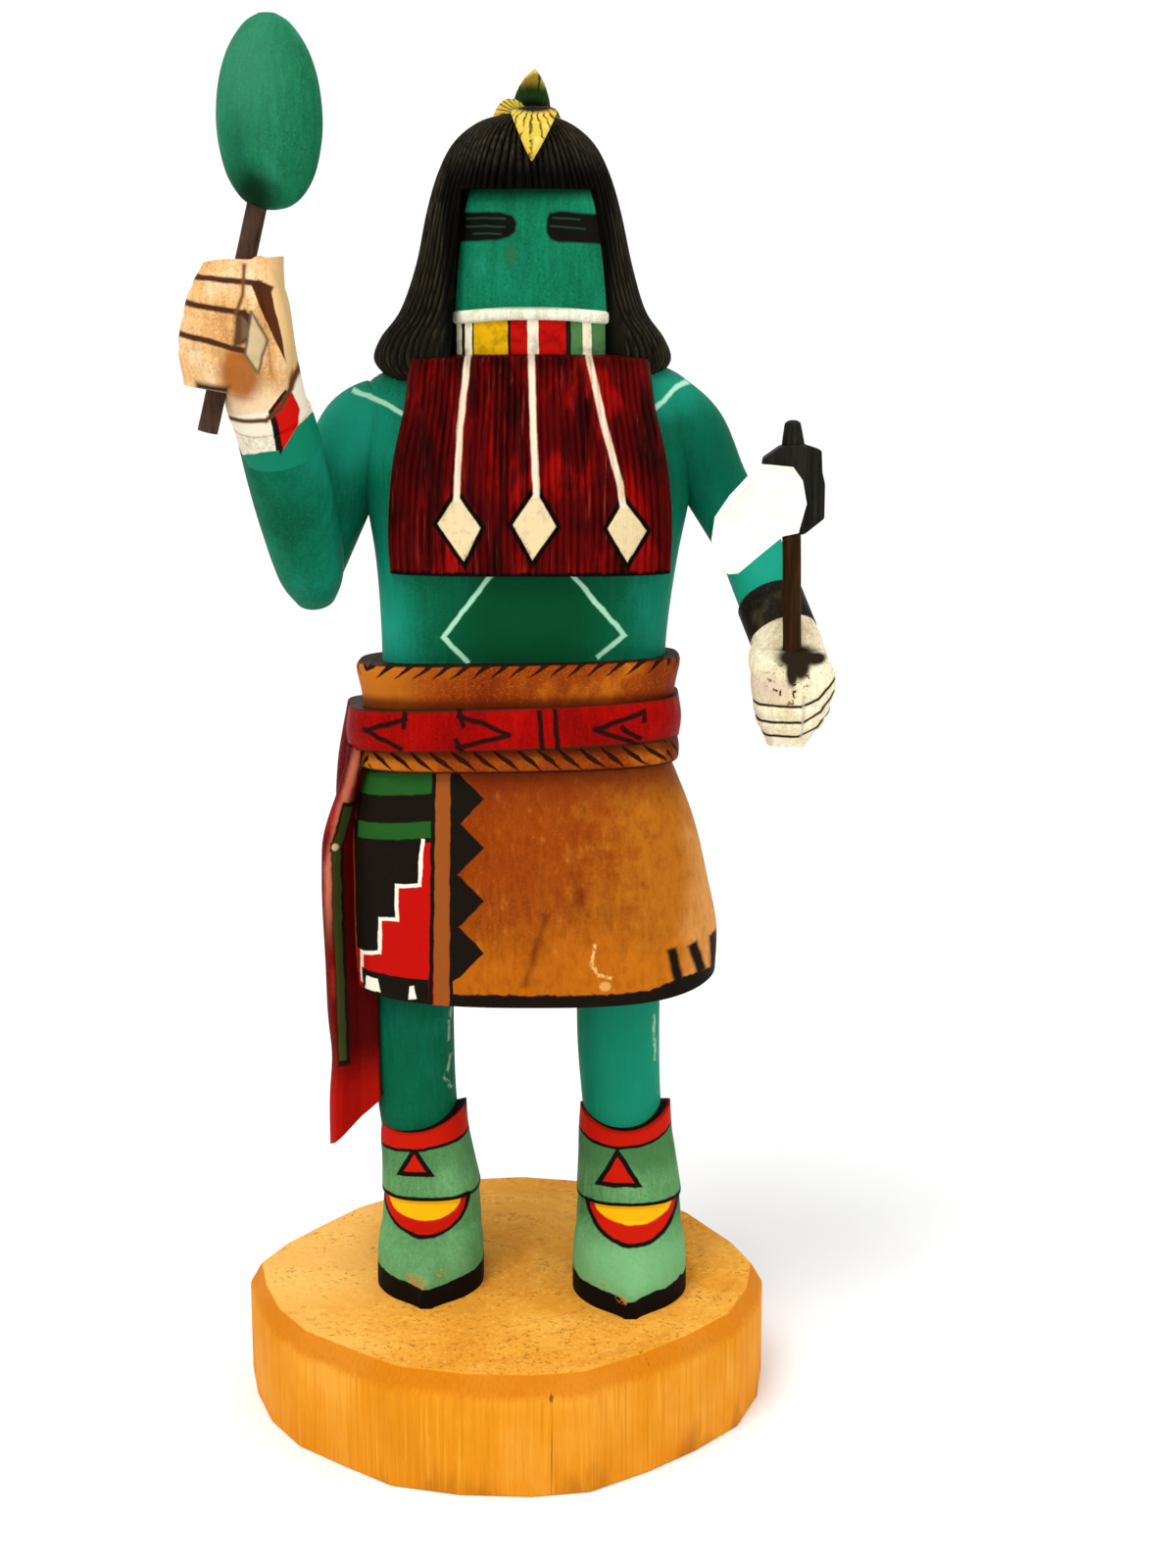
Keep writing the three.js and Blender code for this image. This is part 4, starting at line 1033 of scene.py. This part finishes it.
def fist(foot, head, stations, grip, grooves, depth, slope):
    """Rings stacked up a stick from foot to head, pinched between the four fingers on the side facing grip.

    slope tips the head's end down at its low x side."""
    foot, head = np.array(foot), np.array(head)
    ahead = (head - foot) / np.linalg.norm(head - foot)
    side = np.array([1, 0, 0]) - ahead[0] * ahead
    side /= np.linalg.norm(side)
    back = np.cross(ahead, side)

    def place(t, angle, r):
        s = along_stations(stations, t)
        facing = eased(np.cos(angle - math.radians(grip)), -0.35, 0.2)
        pinch = sum(depth * np.exp(-(((t - g) / 0.03) ** 2)) for g in grooves) * facing
        across = s["x"] + (s["wide"] - pinch) * r * squared(np.cos(angle), 2.8)
        deep = s["y"] + (s["deep"] - pinch) * r * squared(np.sin(angle), 2.8)
        tipped = np.outer(slope * t**4 * r * np.cos(angle), (0, 0, 1))
        return foot + np.outer(t, head - foot) + np.outer(across, side) + np.outer(deep, back) + tipped

    return turned_form(64, 64, place)


RIGHT_FIST = stations_of(
    "x y wide deep",
    (0, 0, 7, 6), (0, 0, 8.7, 7.2), (-0.1, 0, 8.7, 7.4), (-0.2, 0, 8, 7.2), (0, 0, 6.8, 6),
)
RIGHT_HEEL = stations_of(
    "x y z wide deep",
    (-39.2, -19.6, 189.2, 6.8, 6.2), (-40.2, -22, 193.8, 7, 7.2), (-40.8, -24.4, 201, 6.6, 7.8),
    (-41.2, -25.6, 210, 6, 6.6), (-41.4, -26, 216.4, 3.8, 5.4),
)
RIGHT_THUMB = stations_of(
    "x y z wide deep",
    (-36.4, -27, 195, 1.6, 1.8), (-36, -30.2, 200, 2, 2.6), (-36.6, -31.2, 207, 2, 2.6),
    (-38.4, -31, 213.4, 2, 2.2), (-40, -29.6, 216.6, 1.6, 1.6),
)
LEFT_FIST = stations_of(
    "x y wide deep",
    (-0.8, 0.6, 3.4, 4), (-0.3, 0, 6, 6.2), (0, 0, 7.2, 7), (0, 0.4, 7.5, 6.6), (0, 1.8, 5.8, 4.4),
)
LEFT_HEEL = stations_of(
    "x y z wide deep",
    (51.8, -8.4, 151, 5.8, 5.8), (52.4, -12.4, 147, 6.8, 6.2), (52.6, -15.6, 142.4, 7, 6),
)
LEFT_THUMB = stations_of(
    "x y z wide deep",
    (47.4, -12.4, 148, 1.8, 1.8), (47.2, -18, 145.8, 2.2, 2.4), (48.6, -22.4, 142.4, 1.8, 2.2),
    (51, -23.8, 140.6, 1, 1.2),
)
carve(
    fist(
        (-46.2, -26.6, 194.6), (-42.4, -26.6, 216.6), RIGHT_FIST, grip=230, grooves=(0.27, 0.52, 0.77),
        depth=0.25, slope=1.7,
    ),
    "right_fist", bare_hand,
)
carve(limb(RIGHT_HEEL, 40, 24), "right_palm", bare_hand)
carve(limb(RIGHT_THUMB, 32, 24, ends=0.15), "right_thumb", bare_hand)
carve(
    fist(
        (52.6, -18.4, 131.2), (53.1, -18, 148.4), LEFT_FIST, grip=270, grooves=(0.16, 0.31, 0.46),
        depth=0.4, slope=0,
    ),
    "left_fist", cream_hand,
)
carve(limb(LEFT_HEEL, 40, 20), "left_palm", cream_hand)
carve(limb(LEFT_THUMB, 32, 20, ends=0.15), "left_thumb", cream_hand)

# ---- hair ----
# A thick crop of hair, cut all over with fine grooves from the crown down, flaring at its ends, with bangs
# over the mask and a flat fall down the back. It is painted nearly black and rubbed brown on its ridges,
# the brown also a painted highlight, with painted shade in its grooves and on the lower bangs.
HAIR_X = 4.5
CROWN_Z = 242.8
BANGS_Z = 229
FACE = {"left": -6.3, "right": 19.8, "x": 5.9, "front": -11.4}

# Nearly black, dry and brown where the ridges are rubbed, that brown also a painted highlight, with painted
# shade in the grooves and on the lower bangs.
coat = Finish("hair_paint", (0.0085, 0.007, 0.004), 0.55)
strands = coat.noise(1.1, 4, stretch=(1, 1, 0.09), roughness=0.65)
rubbed = coat.noise(0.16, 4, roughness=0.7)
ridge = Field(coat, coat.nodes.new("ShaderNodeNewGeometry").outputs["Pointiness"])
# Brown on the rubbed ridges, which also serves as their painted highlight.
rubbed_and_highlit = coat.ramp(ridge, 0.495, 0.53) * coat.ramp(rubbed, 0.3, 0.6, low=0.35)
coat.lay((0.036, 0.028, 0.015), rubbed_and_highlit * coat.ramp(strands, 0.42, 0.62, low=0.15))
# Painted shade in the grooves.
coat.lay((0.001, 0.0008, 0.0006), coat.ramp(ridge, 0.49, 0.45))
coat.lay((0.002, 0.0015, 0.001), coat.ramp(strands, 0.46, 0.3))
x, y, z = coat.axes()
# Painted shade on the lower bangs and the hair below them round the face.
shade_under_bangs = coat.ramp(z, BANGS_Z + 7, BANGS_Z + 2) * coat.ramp(abs(x - 5.5), 16, 14)
coat.shade(shade_under_bangs, 0.92)
coat.dent(strands, 0.3)
hair_paint = coat.finished()

HAIR = stations_of(
    "z wide deep corner",
    (195.6, 24.4, 14.4, 2.3), (199, 27.2, 15.4, 2.3), (203, 26, 15.4, 2.3), (208, 22.4, 15.2, 2.3),
    (216, 19.7, 15.6, 2.3), (225, 17.7, 16, 2.3), (232, 15.6, 15.2, 2.2), (237.6, 12.6, 12.6, 2.1),
    (241.2, 8, 8.2, 2), (CROWN_Z, 2.4, 2.6, 2),
)
HAIR_FALL = stations_of(
    "z x y wide deep corner",
    (160, 5, 15.8, 14, 2.6, 3), (172, 5, 16, 15.6, 3.4, 2.6), (186, 5, 14.6, 17.4, 4.4, 2.4),
    (200, 4.6, 12, 19.4, 6, 2.3),
)


def cut_locks(count, depth, sway):
    """A skin shape with count round-backed locks between sharp grooves, which sway a little up the form."""

    def shape(angle, s, t):
        wander = sway * np.sin(9 * angle + 5 * t) * np.sin(3 * t + 2 * angle)
        lock = np.abs(np.sin(0.5 * count * angle + wander))
        uneven = 0.75 + 0.25 * np.sin(7 * angle + 2 * t)
        return 1 - depth * uneven * (1 - lock**0.7) / np.maximum(s["wide"], 6), 0

    return shape


for s in HAIR:
    s["x"] = HAIR_X - 0.4 * float(eased(-s["z"], -216, -203))
    s["y"] = 2.6
crop = piece_of(upright(HAIR, 480, 56, cut_locks(80, 0.85, 0.9)), "hair_crop", hair_paint)
fall = upright(HAIR_FALL, 240, 30, cut_locks(60, 0.7, 0.8))
face_cut = bmesh.new()
bmesh.ops.create_cube(face_cut, size=1)
for vert in face_cut.verts:
    splay = 0 if vert.co.z > 0 else 1
    vert.co.x = FACE["right"] + 4.4 * splay if vert.co.x > 0 else FACE["left"] - 2.9 * splay
    vert.co.y = FACE["front"] + 3.4 if vert.co.y > 0 else -30
    vert.co.z = 190 if splay else BANGS_Z
face_cut = piece_of(face_cut, "face_cut", hair_paint)


def worked(piece, others, operation):
    """The piece joined with the others, or cut by them, which are used up."""
    for other in others:
        step = piece.modifiers.new(other.name, "BOOLEAN")
        step.object = other
        step.operation = operation
        step.solver = "MANIFOLD"
        step.material_mode = "TRANSFER"
    graph = bpy.context.evaluated_depsgraph_get()
    made = bpy.data.meshes.new_from_object(piece.evaluated_get(graph))
    piece.modifiers.clear()
    piece.data = made
    for other in others:
        bpy.data.objects.remove(other)


worked(crop, [face_cut], "DIFFERENCE")
carved.append(crop)
carve(fall, "hair_fall", hair_paint)

# ---- mask and neck band ----
# A plain rounded mask painted turquoise, with two barred black eyes, a cream lip along its lower edge and
# under it a neck band of painted blocks. All three are carved in one with the figure.

# Turquoise, with painted shadow under the bangs, the barred eyes drawn on and a small dark fleck below them.
coat = Finish("mask_paint", (0.005, 0.175, 0.085), 0.55)
brushed(coat, (0.003, 0.13, 0.06), (0.012, 0.25, 0.14), size=0.12)
coat.drawn(facing=-2, wander=0.18)
black = (0.005, 0.004, 0.003)
# Painted shadow under the bangs.
coat.lay((0.001, 0.03, 0.012), coat.ramp(coat.axes()[2], 226.6, 229, high=0.9))
coat.fill(
    black, (-9, 225.2), (0.6, 225), (2.9, 224.4), (3.6, 223.2), (3.3, 221.6), (2.2, 220.6), (0, 220.1),
    (-9, 219.9), soft=0.3,
)
coat.fill(
    black, (9.4, 224.9), (11, 225.2), (20, 224.6), (20, 219.5), (11, 219.8), (9.5, 220.4), (8.8, 221.6),
    (8.9, 223.8), soft=0.3,
)
bars = (
    [(-5.4, 224), (1.6, 223.9)], [(-5.4, 222.6), (1.4, 222.5)], [(-4, 221.4), (0.8, 221.2)],
    [(10, 224), (14.6, 223.8)], [(9.6, 222.6), (15.6, 222.2)],
)
coat.draw((0.015, 0.07, 0.04), *bars, wide=0.22, soft=0.16, over=0.8)
coat.lay((0.03, 0.1, 0.05), coat.round_spot(2.6, 217.8, 1, 1.5, soft=0.8) * 0.6)
mask_paint = coat.finished()

# Cream, with a thin dark edge below.
coat = Finish("lip_paint", (0.82, 0.78, 0.6), 0.55)
brushed(coat, (0.6, 0.55, 0.38), (0.92, 0.9, 0.76), size=0.3, grain=0.04)
coat.drawn(wander=0.2)
coat.lay((0.2, 0.3, 0.2), coat.edged(208.3 - coat.axes()[2], 0.3))
lip_paint = coat.finished()

# Painted blocks side by side, from the wearer's right to left, with thin dark gaps.
coat = Finish("neck_band_paint", (0.012, 0.008, 0.005), 0.5)
coat.drawn(wander=0.14)
cream, yellow, red = (0.84, 0.76, 0.55), (0.68, 0.37, 0.003), (0.45, 0.004, 0.002)
green = (0.07, 0.19, 0.06)
blocks = [
    (-9.2, -6.4, cream), (-5.8, -4.5, cream), (-4.2, 1.9, yellow), (2.4, 5.4, red), (5.4, 7.4, cream),
    (7.4, 12.2, red), (13.1, 15.2, green), (15.2, 16.8, cream), (16.8, 22.4, green),
]
for start, end, paint in blocks:
    coat.fill(paint, (start - 0.1, 210), (end - 0.1, 210), (end + 0.1, 190), (start + 0.1, 190), soft=0.1)
mottle = coat.noise(0.5, 3)
coat.shade(coat.ramp(mottle, 0.55, 0.3), 0.35)
coat.dent(mottle, 0.15)
band_paint = coat.finished()


def mask_ring(name, levels, finish, along, bow=0.0):
    """A ring round the face that rises by bow millimetres in the middle of its front."""

    def bowed(angle, s, t):
        return 1, bow * np.maximum(0, -np.sin(angle)) ** 6

    stations = [{"z": z, "wide": w, "deep": d, "x": FACE["x"], "y": 2, "corner": 2.9} for z, w, d in levels]
    carve(upright(stations, 112, along, bowed), name, finish)


mask_ring(
    "mask_front", [(206.7, 16.5, 13.4), (216, 15.6, 13.4), (225, 14.2, 13.2), (231, 13.2, 12.2)],
    mask_paint, along=24,
)
mask_ring(
    "mask_lip", [(205.6, 16, 13.7), (206, 16.2, 14.2), (207.4, 16.2, 14.2), (207.9, 16, 13.7)], lip_paint,
    along=8, bow=0.8,
)
mask_ring("neck_band", [(192, 16.1, 13.5), (206.8, 16, 13.5)], band_paint, along=10)

# ---- beard ----
# A long beard over the chest, carved with the figure, cut into fine vertical locks and painted maroon with
# brighter red in its ridges. Three cream cords down it, each with a diamond at its end, are in low relief.
CHIN_Z = 200.3

# Maroon with black and bright red stretches along the locks, three cords and their diamonds over it.
coat = Finish("beard_paint", (0.09, 0.001, 0.001), 0.5)
strands = coat.noise(0.85, 4, stretch=(1, 1, 0.07), roughness=0.65)
clouds = coat.noise(0.14, 3, stretch=(1, 1, 0.45))
coat.lay((0.33, 0.003, 0.002), coat.ramp(clouds, 0.49, 0.66, high=0.85))
coat.lay((0.022, 0.001, 0.001), coat.ramp(clouds, 0.48, 0.28, high=0.9))
streaks = coat.noise(0.32, 3, stretch=(1, 1, 0.12), roughness=0.6)
coat.lay((0.014, 0.001, 0.001), coat.ramp(streaks, 0.5, 0.36, high=0.85))
coat.lay((0.3, 0.03, 0.02), coat.ramp(strands, 0.58, 0.75, high=0.6))
coat.lay((0.02, 0.001, 0.001), coat.ramp(strands, 0.45, 0.3, high=0.8))
coat.dent(strands, 0.3)
coat.drawn(facing=2, wander=0.15)
cream, black = (0.75, 0.59, 0.33), (0.004, 0.002, 0.001)
diamonds = (
    [(-7.3, 176), (-3.1, 170), (-6.1, 164), (-10.8, 170.6)],
    [(6.8, 176.7), (10.4, 170.2), (6.1, 164.2), (2.7, 170.5)],
    [(22.5, 174.8), (26.6, 169.3), (23.2, 163.7), (19.6, 169.8)],
)
rubbed = coat.noise(0.8, 3, roughness=0.7)
for corners in diamonds:
    away = coat.outside(corners)
    coat.lay(black, coat.edged(away - 0.85, 0.2))
    coat.lay(cream, coat.edged(away))
    coat.lay((0.5, 0.38, 0.26), coat.edged(away) * coat.ramp(rubbed, 0.5, 0.66, high=0.5))
cords = (
    [(-5.1, 200.6), (-6.6, 187.6), (-7.4, 175.4)], [(6.1, 200.6), (6.4, 188), (6.9, 176)],
    [(16.1, 200.6), (18.9, 188.4), (21.8, 177.6), (22.3, 174)],
)
coat.draw((0.84, 0.68, 0.5), *cords, wide=1.14, soft=0.2)
height = coat.axes()[2]
# Painted shade along the beard's top, under the chin.
coat.shade(coat.ramp(height, 197, 200, high=0.5), 0.8)
coat.lay(black, coat.edged(height + coat.sway(0.5, 0.6, 33) - 161.9, 0.3))
beard_paint = coat.finished()

BEARD = stations_of(
    "z wide deep thick",
    (161.2, 25.6, 17.3, 2.6), (170, 25.8, 17.3, 3), (181, 24.8, 17.3, 3.4), (191, 22.6, 17, 4),
    (198.6, 21.6, 16.2, 5), (CHIN_Z, 20.9, 15.4, 5),
)
BEARD_LOCKS = 40
beard = bmesh.new()
bmesh.ops.create_grid(beard, x_segments=6 * BEARD_LOCKS, y_segments=64, size=1)
drawn_out(beard, (0, 0, 1))
spots = np.array([v.co for v in beard.verts])
u, t, behind = spots[:, 0], (spots[:, 1] + 1) / 2, spots[:, 2] > 0.5
s = along_stations(BEARD, t)
lock = np.abs(np.sin(0.5 * TURN * BEARD_LOCKS * u / 2 + 0.5 * np.sin(5 * u + 3 * t)))
bow = np.maximum(0, 1 - np.abs(u) ** 2.9)
front = 2 - s["deep"] * (0.62 + 0.38 * np.sqrt(bow))
x, z = 5.6 + s["wide"] * u, s["z"] + 0.8 * behind - 0.9 * u**2 * eased(t, 0.8, 1)
raised = np.zeros_like(x)
for (cord_x, cord_z), lean in zip(((-6.7, 170), (6.6, 170.4), (22.9, 169.3)), (0.085, -0.02, -0.27)):
    off_diamond = np.abs(x - cord_x) / 3.9 + np.abs(z - cord_z) / 6.2
    off_cord = np.abs(x - cord_x - lean * (z - cord_z) * (z > cord_z)) / 0.8
    raised = np.maximum(raised, 1 - eased(off_diamond, 0.98, 1.08))
    raised = np.maximum(raised, (1 - eased(off_cord, 0.8, 1.3)) * (z > cord_z + 4))
grooves = 0.6 * (1 - lock**0.7) * (1 - raised) - 0.35 * raised
placed = np.stack([x, np.where(behind, front + s["thick"] + 4, front + grooves), z], axis=1)
for vert, spot in zip(beard.verts, placed.tolist()):
    vert.co = spot
carve(beard, "beard_sheet", beard_paint)

# ---- rattle ----
# A dark stick held up in the right fist, whittled of wood. Its head is a smooth egg-shaped gourd, carved of
# solid wood, painted turquoise and glued on the stick's upper end.
FIT_GAP = 0.12
RATTLE = {"foot": (-49.5, -26.6, 187.6), "head": (-38.1, -26.6, 232.6), "radius": 1.75}
HATCHET = {"foot": (52.8, -19, 139), "head": (51.9, -19, 184), "radius": 1.65, "block_deep": 5.4}


def stick_coat(name, colour):
    """Whittled stick stained dark, its long grain showing."""
    coat = Finish(name, colour, 0.5)
    grain = coat.noise(1.5, 4, stretch=(1, 1, 0.06), roughness=0.65)
    coat.lay(tuple(2.1 * part for part in colour), coat.ramp(grain, 0.52, 0.7, high=0.8))
    coat.lay(tuple(0.4 * part for part in colour), coat.ramp(grain, 0.48, 0.32, high=0.9))
    coat.dent(grain, 0.3)
    return coat.finished()


stick_paint = stick_coat("dark_stick", (0.062, 0.033, 0.022))


def stick(foot, head, radius, name, finish, extra=0.0, uneven=0.0):
    """A round whittled stick between two points."""
    foot, head = Vector(foot), Vector(head)
    turn = (head - foot).to_track_quat("Z", "Y").to_matrix()

    def place(t, angle, r):
        wander = 1 + uneven * np.sin(3 * angle + 9 * t) * np.sin(11 * t)
        reach = (radius + extra) * wander * r
        spots = np.stack([reach * np.cos(angle), reach * np.sin(angle), t * (head - foot).length], axis=1)
        return spots @ np.array(turn).T + np.array(foot)

    return piece_of(turned_form(40, 40, place), name, finish)


rattle_stick = stick(**RATTLE, name="rattle_handle", finish=stick_paint, uneven=0.02)
seated(rattle_stick, "rattle_stick")

# Turquoise, with a painted highlight high on its outer side, darker low down on that side, and stained dark
# where it meets the stick.
coat = Finish("gourd_paint", (0.009, 0.16, 0.068), 0.55)
brushed(coat, (0.006, 0.12, 0.05), (0.026, 0.24, 0.13), size=0.09, grain=0.03)
coat.drawn(wander=0.5)
# Painted highlight high on the outer side.
coat.lay((0.05, 0.26, 0.15), coat.round_spot(-40.6, 248, 6, 10, soft=0.95) * 0.4)
coat.lay((0.003, 0.06, 0.035), coat.round_spot(-42.6, 231.5, 2.2, 7, soft=0.95) * 0.4)
coat.lay((0.001, 0.014, 0.006), coat.round_spot(-39.8, 227, 3.6, 4, soft=0.7) * 0.95)
gourd_paint = coat.finished()

GOURD = stations_of(
    "z wide deep",
    (224.8, 0.8, 0.7), (225.4, 3.2, 2.7), (227.4, 5.6, 4.6), (231.4, 7.7, 6.3), (238, 8.9, 7.2),
    (245, 8.5, 6.9), (250.8, 6.8, 5.6), (255, 4, 3.4), (256.7, 1.4, 1.2),
)
gourd_form = upright([{**s, "x": -37.4, "y": -26.6, "corner": 2} for s in GOURD], 64, 48)
gourd = piece_of(gourd_form, "rattle_head", gourd_paint)
worked(gourd, [stick(**RATTLE, name="gourd_bore", finish=stick_paint, extra=FIT_GAP)], "DIFFERENCE")
seated(gourd, "rattle_gourd")

# ---- hatchet ----
# A small hatchet in the left fist: a dark handle whittled in one with a squared block, painted black, and a
# white blade glued at a slant to the block's front, running out and down to a rounded edge.
block_paint = stick_coat("hatchet_block_paint", (0.013, 0.012, 0.009))
handle_paint = stick_coat("hatchet_handle_paint", (0.029, 0.011, 0.003))
BLOCK_OUTLINE = [
    (50.1, 169.2), (54.2, 169.4), (57.7, 172.2), (57.7, 178.3), (57.2, 180.3), (57, 184.1), (54.3, 185),
    (50, 184.8), (47, 182.7), (46.8, 181.5), (47.8, 174.6),
]
block = bmesh.new()
half_deep = HATCHET["block_deep"] / 2
block.faces.new([block.verts.new((x, HATCHET["foot"][1] - half_deep, z)) for x, z in BLOCK_OUTLINE])
drawn_out(block, (0, HATCHET["block_deep"], 0))
blunted(block, block.edges[:], 0.35, 3)
handle = stick(
    HATCHET["foot"], HATCHET["head"], HATCHET["radius"], "hatchet_shaft", handle_paint, uneven=0.03,
)
stub = stations_of(
    "x y z wide deep",
    (52.2, HATCHET["foot"][1], 184, 2.2, 2), (52, HATCHET["foot"][1], 189.2, 1.35, 1.7),
)
block_piece = piece_of(block, "hatchet_block", block_paint)
worked(handle, [block_piece, piece_of(limb(stub, 32, 8, ends=0.2), "hatchet_stub", block_paint)], "UNION")
seated(handle, "hatchet_handle")
blade_coat = Finish("blade_paint", (0.9, 0.9, 0.78), 0.5)
blade_clouds = blade_coat.noise(0.2, 3)
blade_coat.lay((0.8, 0.82, 0.74), blade_coat.ramp(blade_clouds, 0.5, 0.3))
blade_coat.lay((0.97, 0.98, 0.93), blade_coat.ramp(blade_clouds, 0.5, 0.66))
blade_coat.dent(blade_clouds, 0.2)
blade_paint = blade_coat.finished()
BLADE = {"root": (52.4, -23.4), "slant": math.radians(35), "reach": 18.1, "thick": 2.9, "edge": 0.7}
BLADE_OUTLINE = [
    (-1.1, 175), (0.6, 170.2), (3.8, 169.8), (8.9, 166.7), (13.2, 163.9), (15.2, 163.9), (17, 166.4),
    (18.1, 169.6), (17.4, 173.5), (14.1, 176.9), (9.6, 180.3), (7.1, 181.9), (1.9, 181.3), (-0.1, 179),
]
blade = bmesh.new()
blade.faces.new([blade.verts.new((out, -0.5, z)) for out, z in BLADE_OUTLINE])
drawn_out(blade, (0, 1, 0))
for vert in blade.verts:
    out, side = vert.co.x, vert.co.y
    share = min(max(out / BLADE["reach"], 0), 1)
    through = side * (BLADE["thick"] + (BLADE["edge"] - BLADE["thick"]) * share)
    cosine, sine = math.cos(BLADE["slant"]), math.sin(BLADE["slant"])
    vert.co.x = BLADE["root"][0] - out * cosine - through * sine
    vert.co.y = BLADE["root"][1] - out * sine + through * cosine
blunted(blade, blade.edges[:], 0.22)
blade = piece_of(blade, "hatchet_blade_piece", blade_paint)
behind_blade = bmesh.new()
bmesh.ops.create_cube(behind_blade, size=20)
front_of_block = HATCHET["foot"][1] - half_deep - FIT_GAP
bmesh.ops.translate(behind_blade, verts=behind_blade.verts, vec=(50, front_of_block + 10, 175))
worked(blade, [piece_of(behind_blade, "block_face", blade_paint)], "DIFFERENCE")
seated(blade, "hatchet_blade")

# ---- feathers ----
# Four thin leaves whittled of wood and set in cuts in the crown as a tuft, painted yellow with dark strokes
# that spread from the foot of each.


def feather_coat(name, foot, black_reach, aged, dark_green_reach):
    """Yellow, browned as far as aged says, with dark barbs that spread from the feather's foot.

    black_reach is how far up from the foot it is black, and dark_green_reach how far it is dark green."""
    coat = Finish(name, (0.64, 0.47, 0.06), 0.55)
    coat.lay((0.8, 0.68, 0.24), coat.ramp(coat.noise(0.35, 3), 0.5, 0.7, high=0.7))
    coat.lay((0.3, 0.19, 0.02), aged)
    x, y, z = coat.axes()
    aside = x - foot[0]
    along = foot[2] + 1.5 + y * -0.25 - z
    bearing = coat.math("ARCTAN2", aside, along)
    wander = coat.noise(0.5, 2) * 1.4
    beat = bearing * 5.0 + wander
    off_barb = abs(coat.math("FRACT", beat) - 0.5)
    drawn = coat.ramp(coat.noise(0.5, 2), 0.35, 0.55)
    coat.lay((0.75, 0.33, 0.03), coat.ramp(coat.noise(0.22, 2), 0.5, 0.62, high=0.5))
    barbs = coat.ramp(off_barb, 0.17, 0.07) * drawn
    coat.lay((0.05, 0.03, 0.006), barbs * 0.9)
    reach = coat.vector("LENGTH", coat.vector("SUBTRACT", coat.place, foot))
    coat.lay((0.02, 0.06, 0.012), coat.ramp(reach, dark_green_reach + 1.2, dark_green_reach - 1.2))
    coat.lay((0.004, 0.006, 0.003), coat.ramp(reach, black_reach + 0.8, black_reach - 0.8))
    coat.dent(barbs, -0.2)
    return coat.finished()


LEAF = [0.7, 1, 0.92, 0.7, 0.4, 0.06]
FEATHERS = {
    "front": {
        "points": [(6.6, -5, 242.9), (6.6, -8.4, 241.6), (6.5, -11.4, 238.2), (6.3, -13.4, 233.8)],
        "half": 4, "broad": (1, 0, 0),
    },
    "back": {
        "points": [(5.8, 5, 240.4), (5.9, 5.9, 244.4), (6.2, 4.4, 248), (6.6, 1.2, 249.9)], "half": 3.5,
        "broad": (1, 0, 0),
    },
    "left": {
        "points": [(4.6, 0.8, 240.6), (2.8, 1.2, 243.2), (0.8, 0.8, 242.8), (-1, 0, 240.4)], "half": 2.3,
        "broad": (0.2, -0.4, -0.9),
    },
    "right": {
        "points": [(8.2, 1, 242.4), (9.2, 1.2, 243.2), (10.2, 0.8, 242.4), (11.2, 0, 240.2)], "half": 2.6,
        "broad": (-0.35, -1, 0),
    },
}


def feather(points, half, broad, extra=0.0):
    route = along_stations([dict(zip("xyz", p)) for p in points], np.linspace(0, 1, len(LEAF)))
    stations = [
        {
            "x": route["x"][i], "y": route["y"][i], "z": route["z"][i], "wide": half * share + extra,
            "deep": 0.55 + extra,
        }
        for i, share in enumerate(LEAF)
    ]
    return limb(stations, 32, 40, tuple(Vector(broad).normalized()))


TINTS = {
    "front": {"black_reach": 3.7, "aged": 0.05, "dark_green_reach": 0}, "back": {"black_reach": 5, "aged": 0.35, "dark_green_reach": 7.6},
    "left": {"black_reach": 2.7, "aged": 0.35, "dark_green_reach": 3}, "right": {"black_reach": 2.6, "aged": 0.6, "dark_green_reach": 3},
}
feather_cuts = []
for side, shape in FEATHERS.items():
    painted = feather_coat(side + "_feather_paint", shape["points"][0], **TINTS[side])
    plume = piece_of(feather(**shape), side + "_plume", painted)
    seated(plume, "feather_" + side)
    feather_cuts.append(piece_of(feather(**shape, extra=FIT_GAP), side + "_seat", hair_paint))

# ---- the figure, carved from one block ----
# All the carved forms are one piece of wood, with holes for the two sticks and seats for the feathers.
figure = carved[0]
figure.name = "carved_figure"
worked(figure, carved[1:], "UNION")
hatchet_floor = (*HATCHET["foot"][:2], HATCHET["foot"][2] - FIT_GAP)
bores = [
    stick(**RATTLE, name="rattle_bore", finish=bare_hand, extra=FIT_GAP),
    stick(hatchet_floor, HATCHET["head"], HATCHET["radius"], "hatchet_bore", cream_hand, extra=FIT_GAP),
]
worked(figure, bores + feather_cuts, "DIFFERENCE")
figure.data.shade_smooth()
figure.data.set_sharp_from_angle(angle=math.radians(40))
seated(figure, "figure")
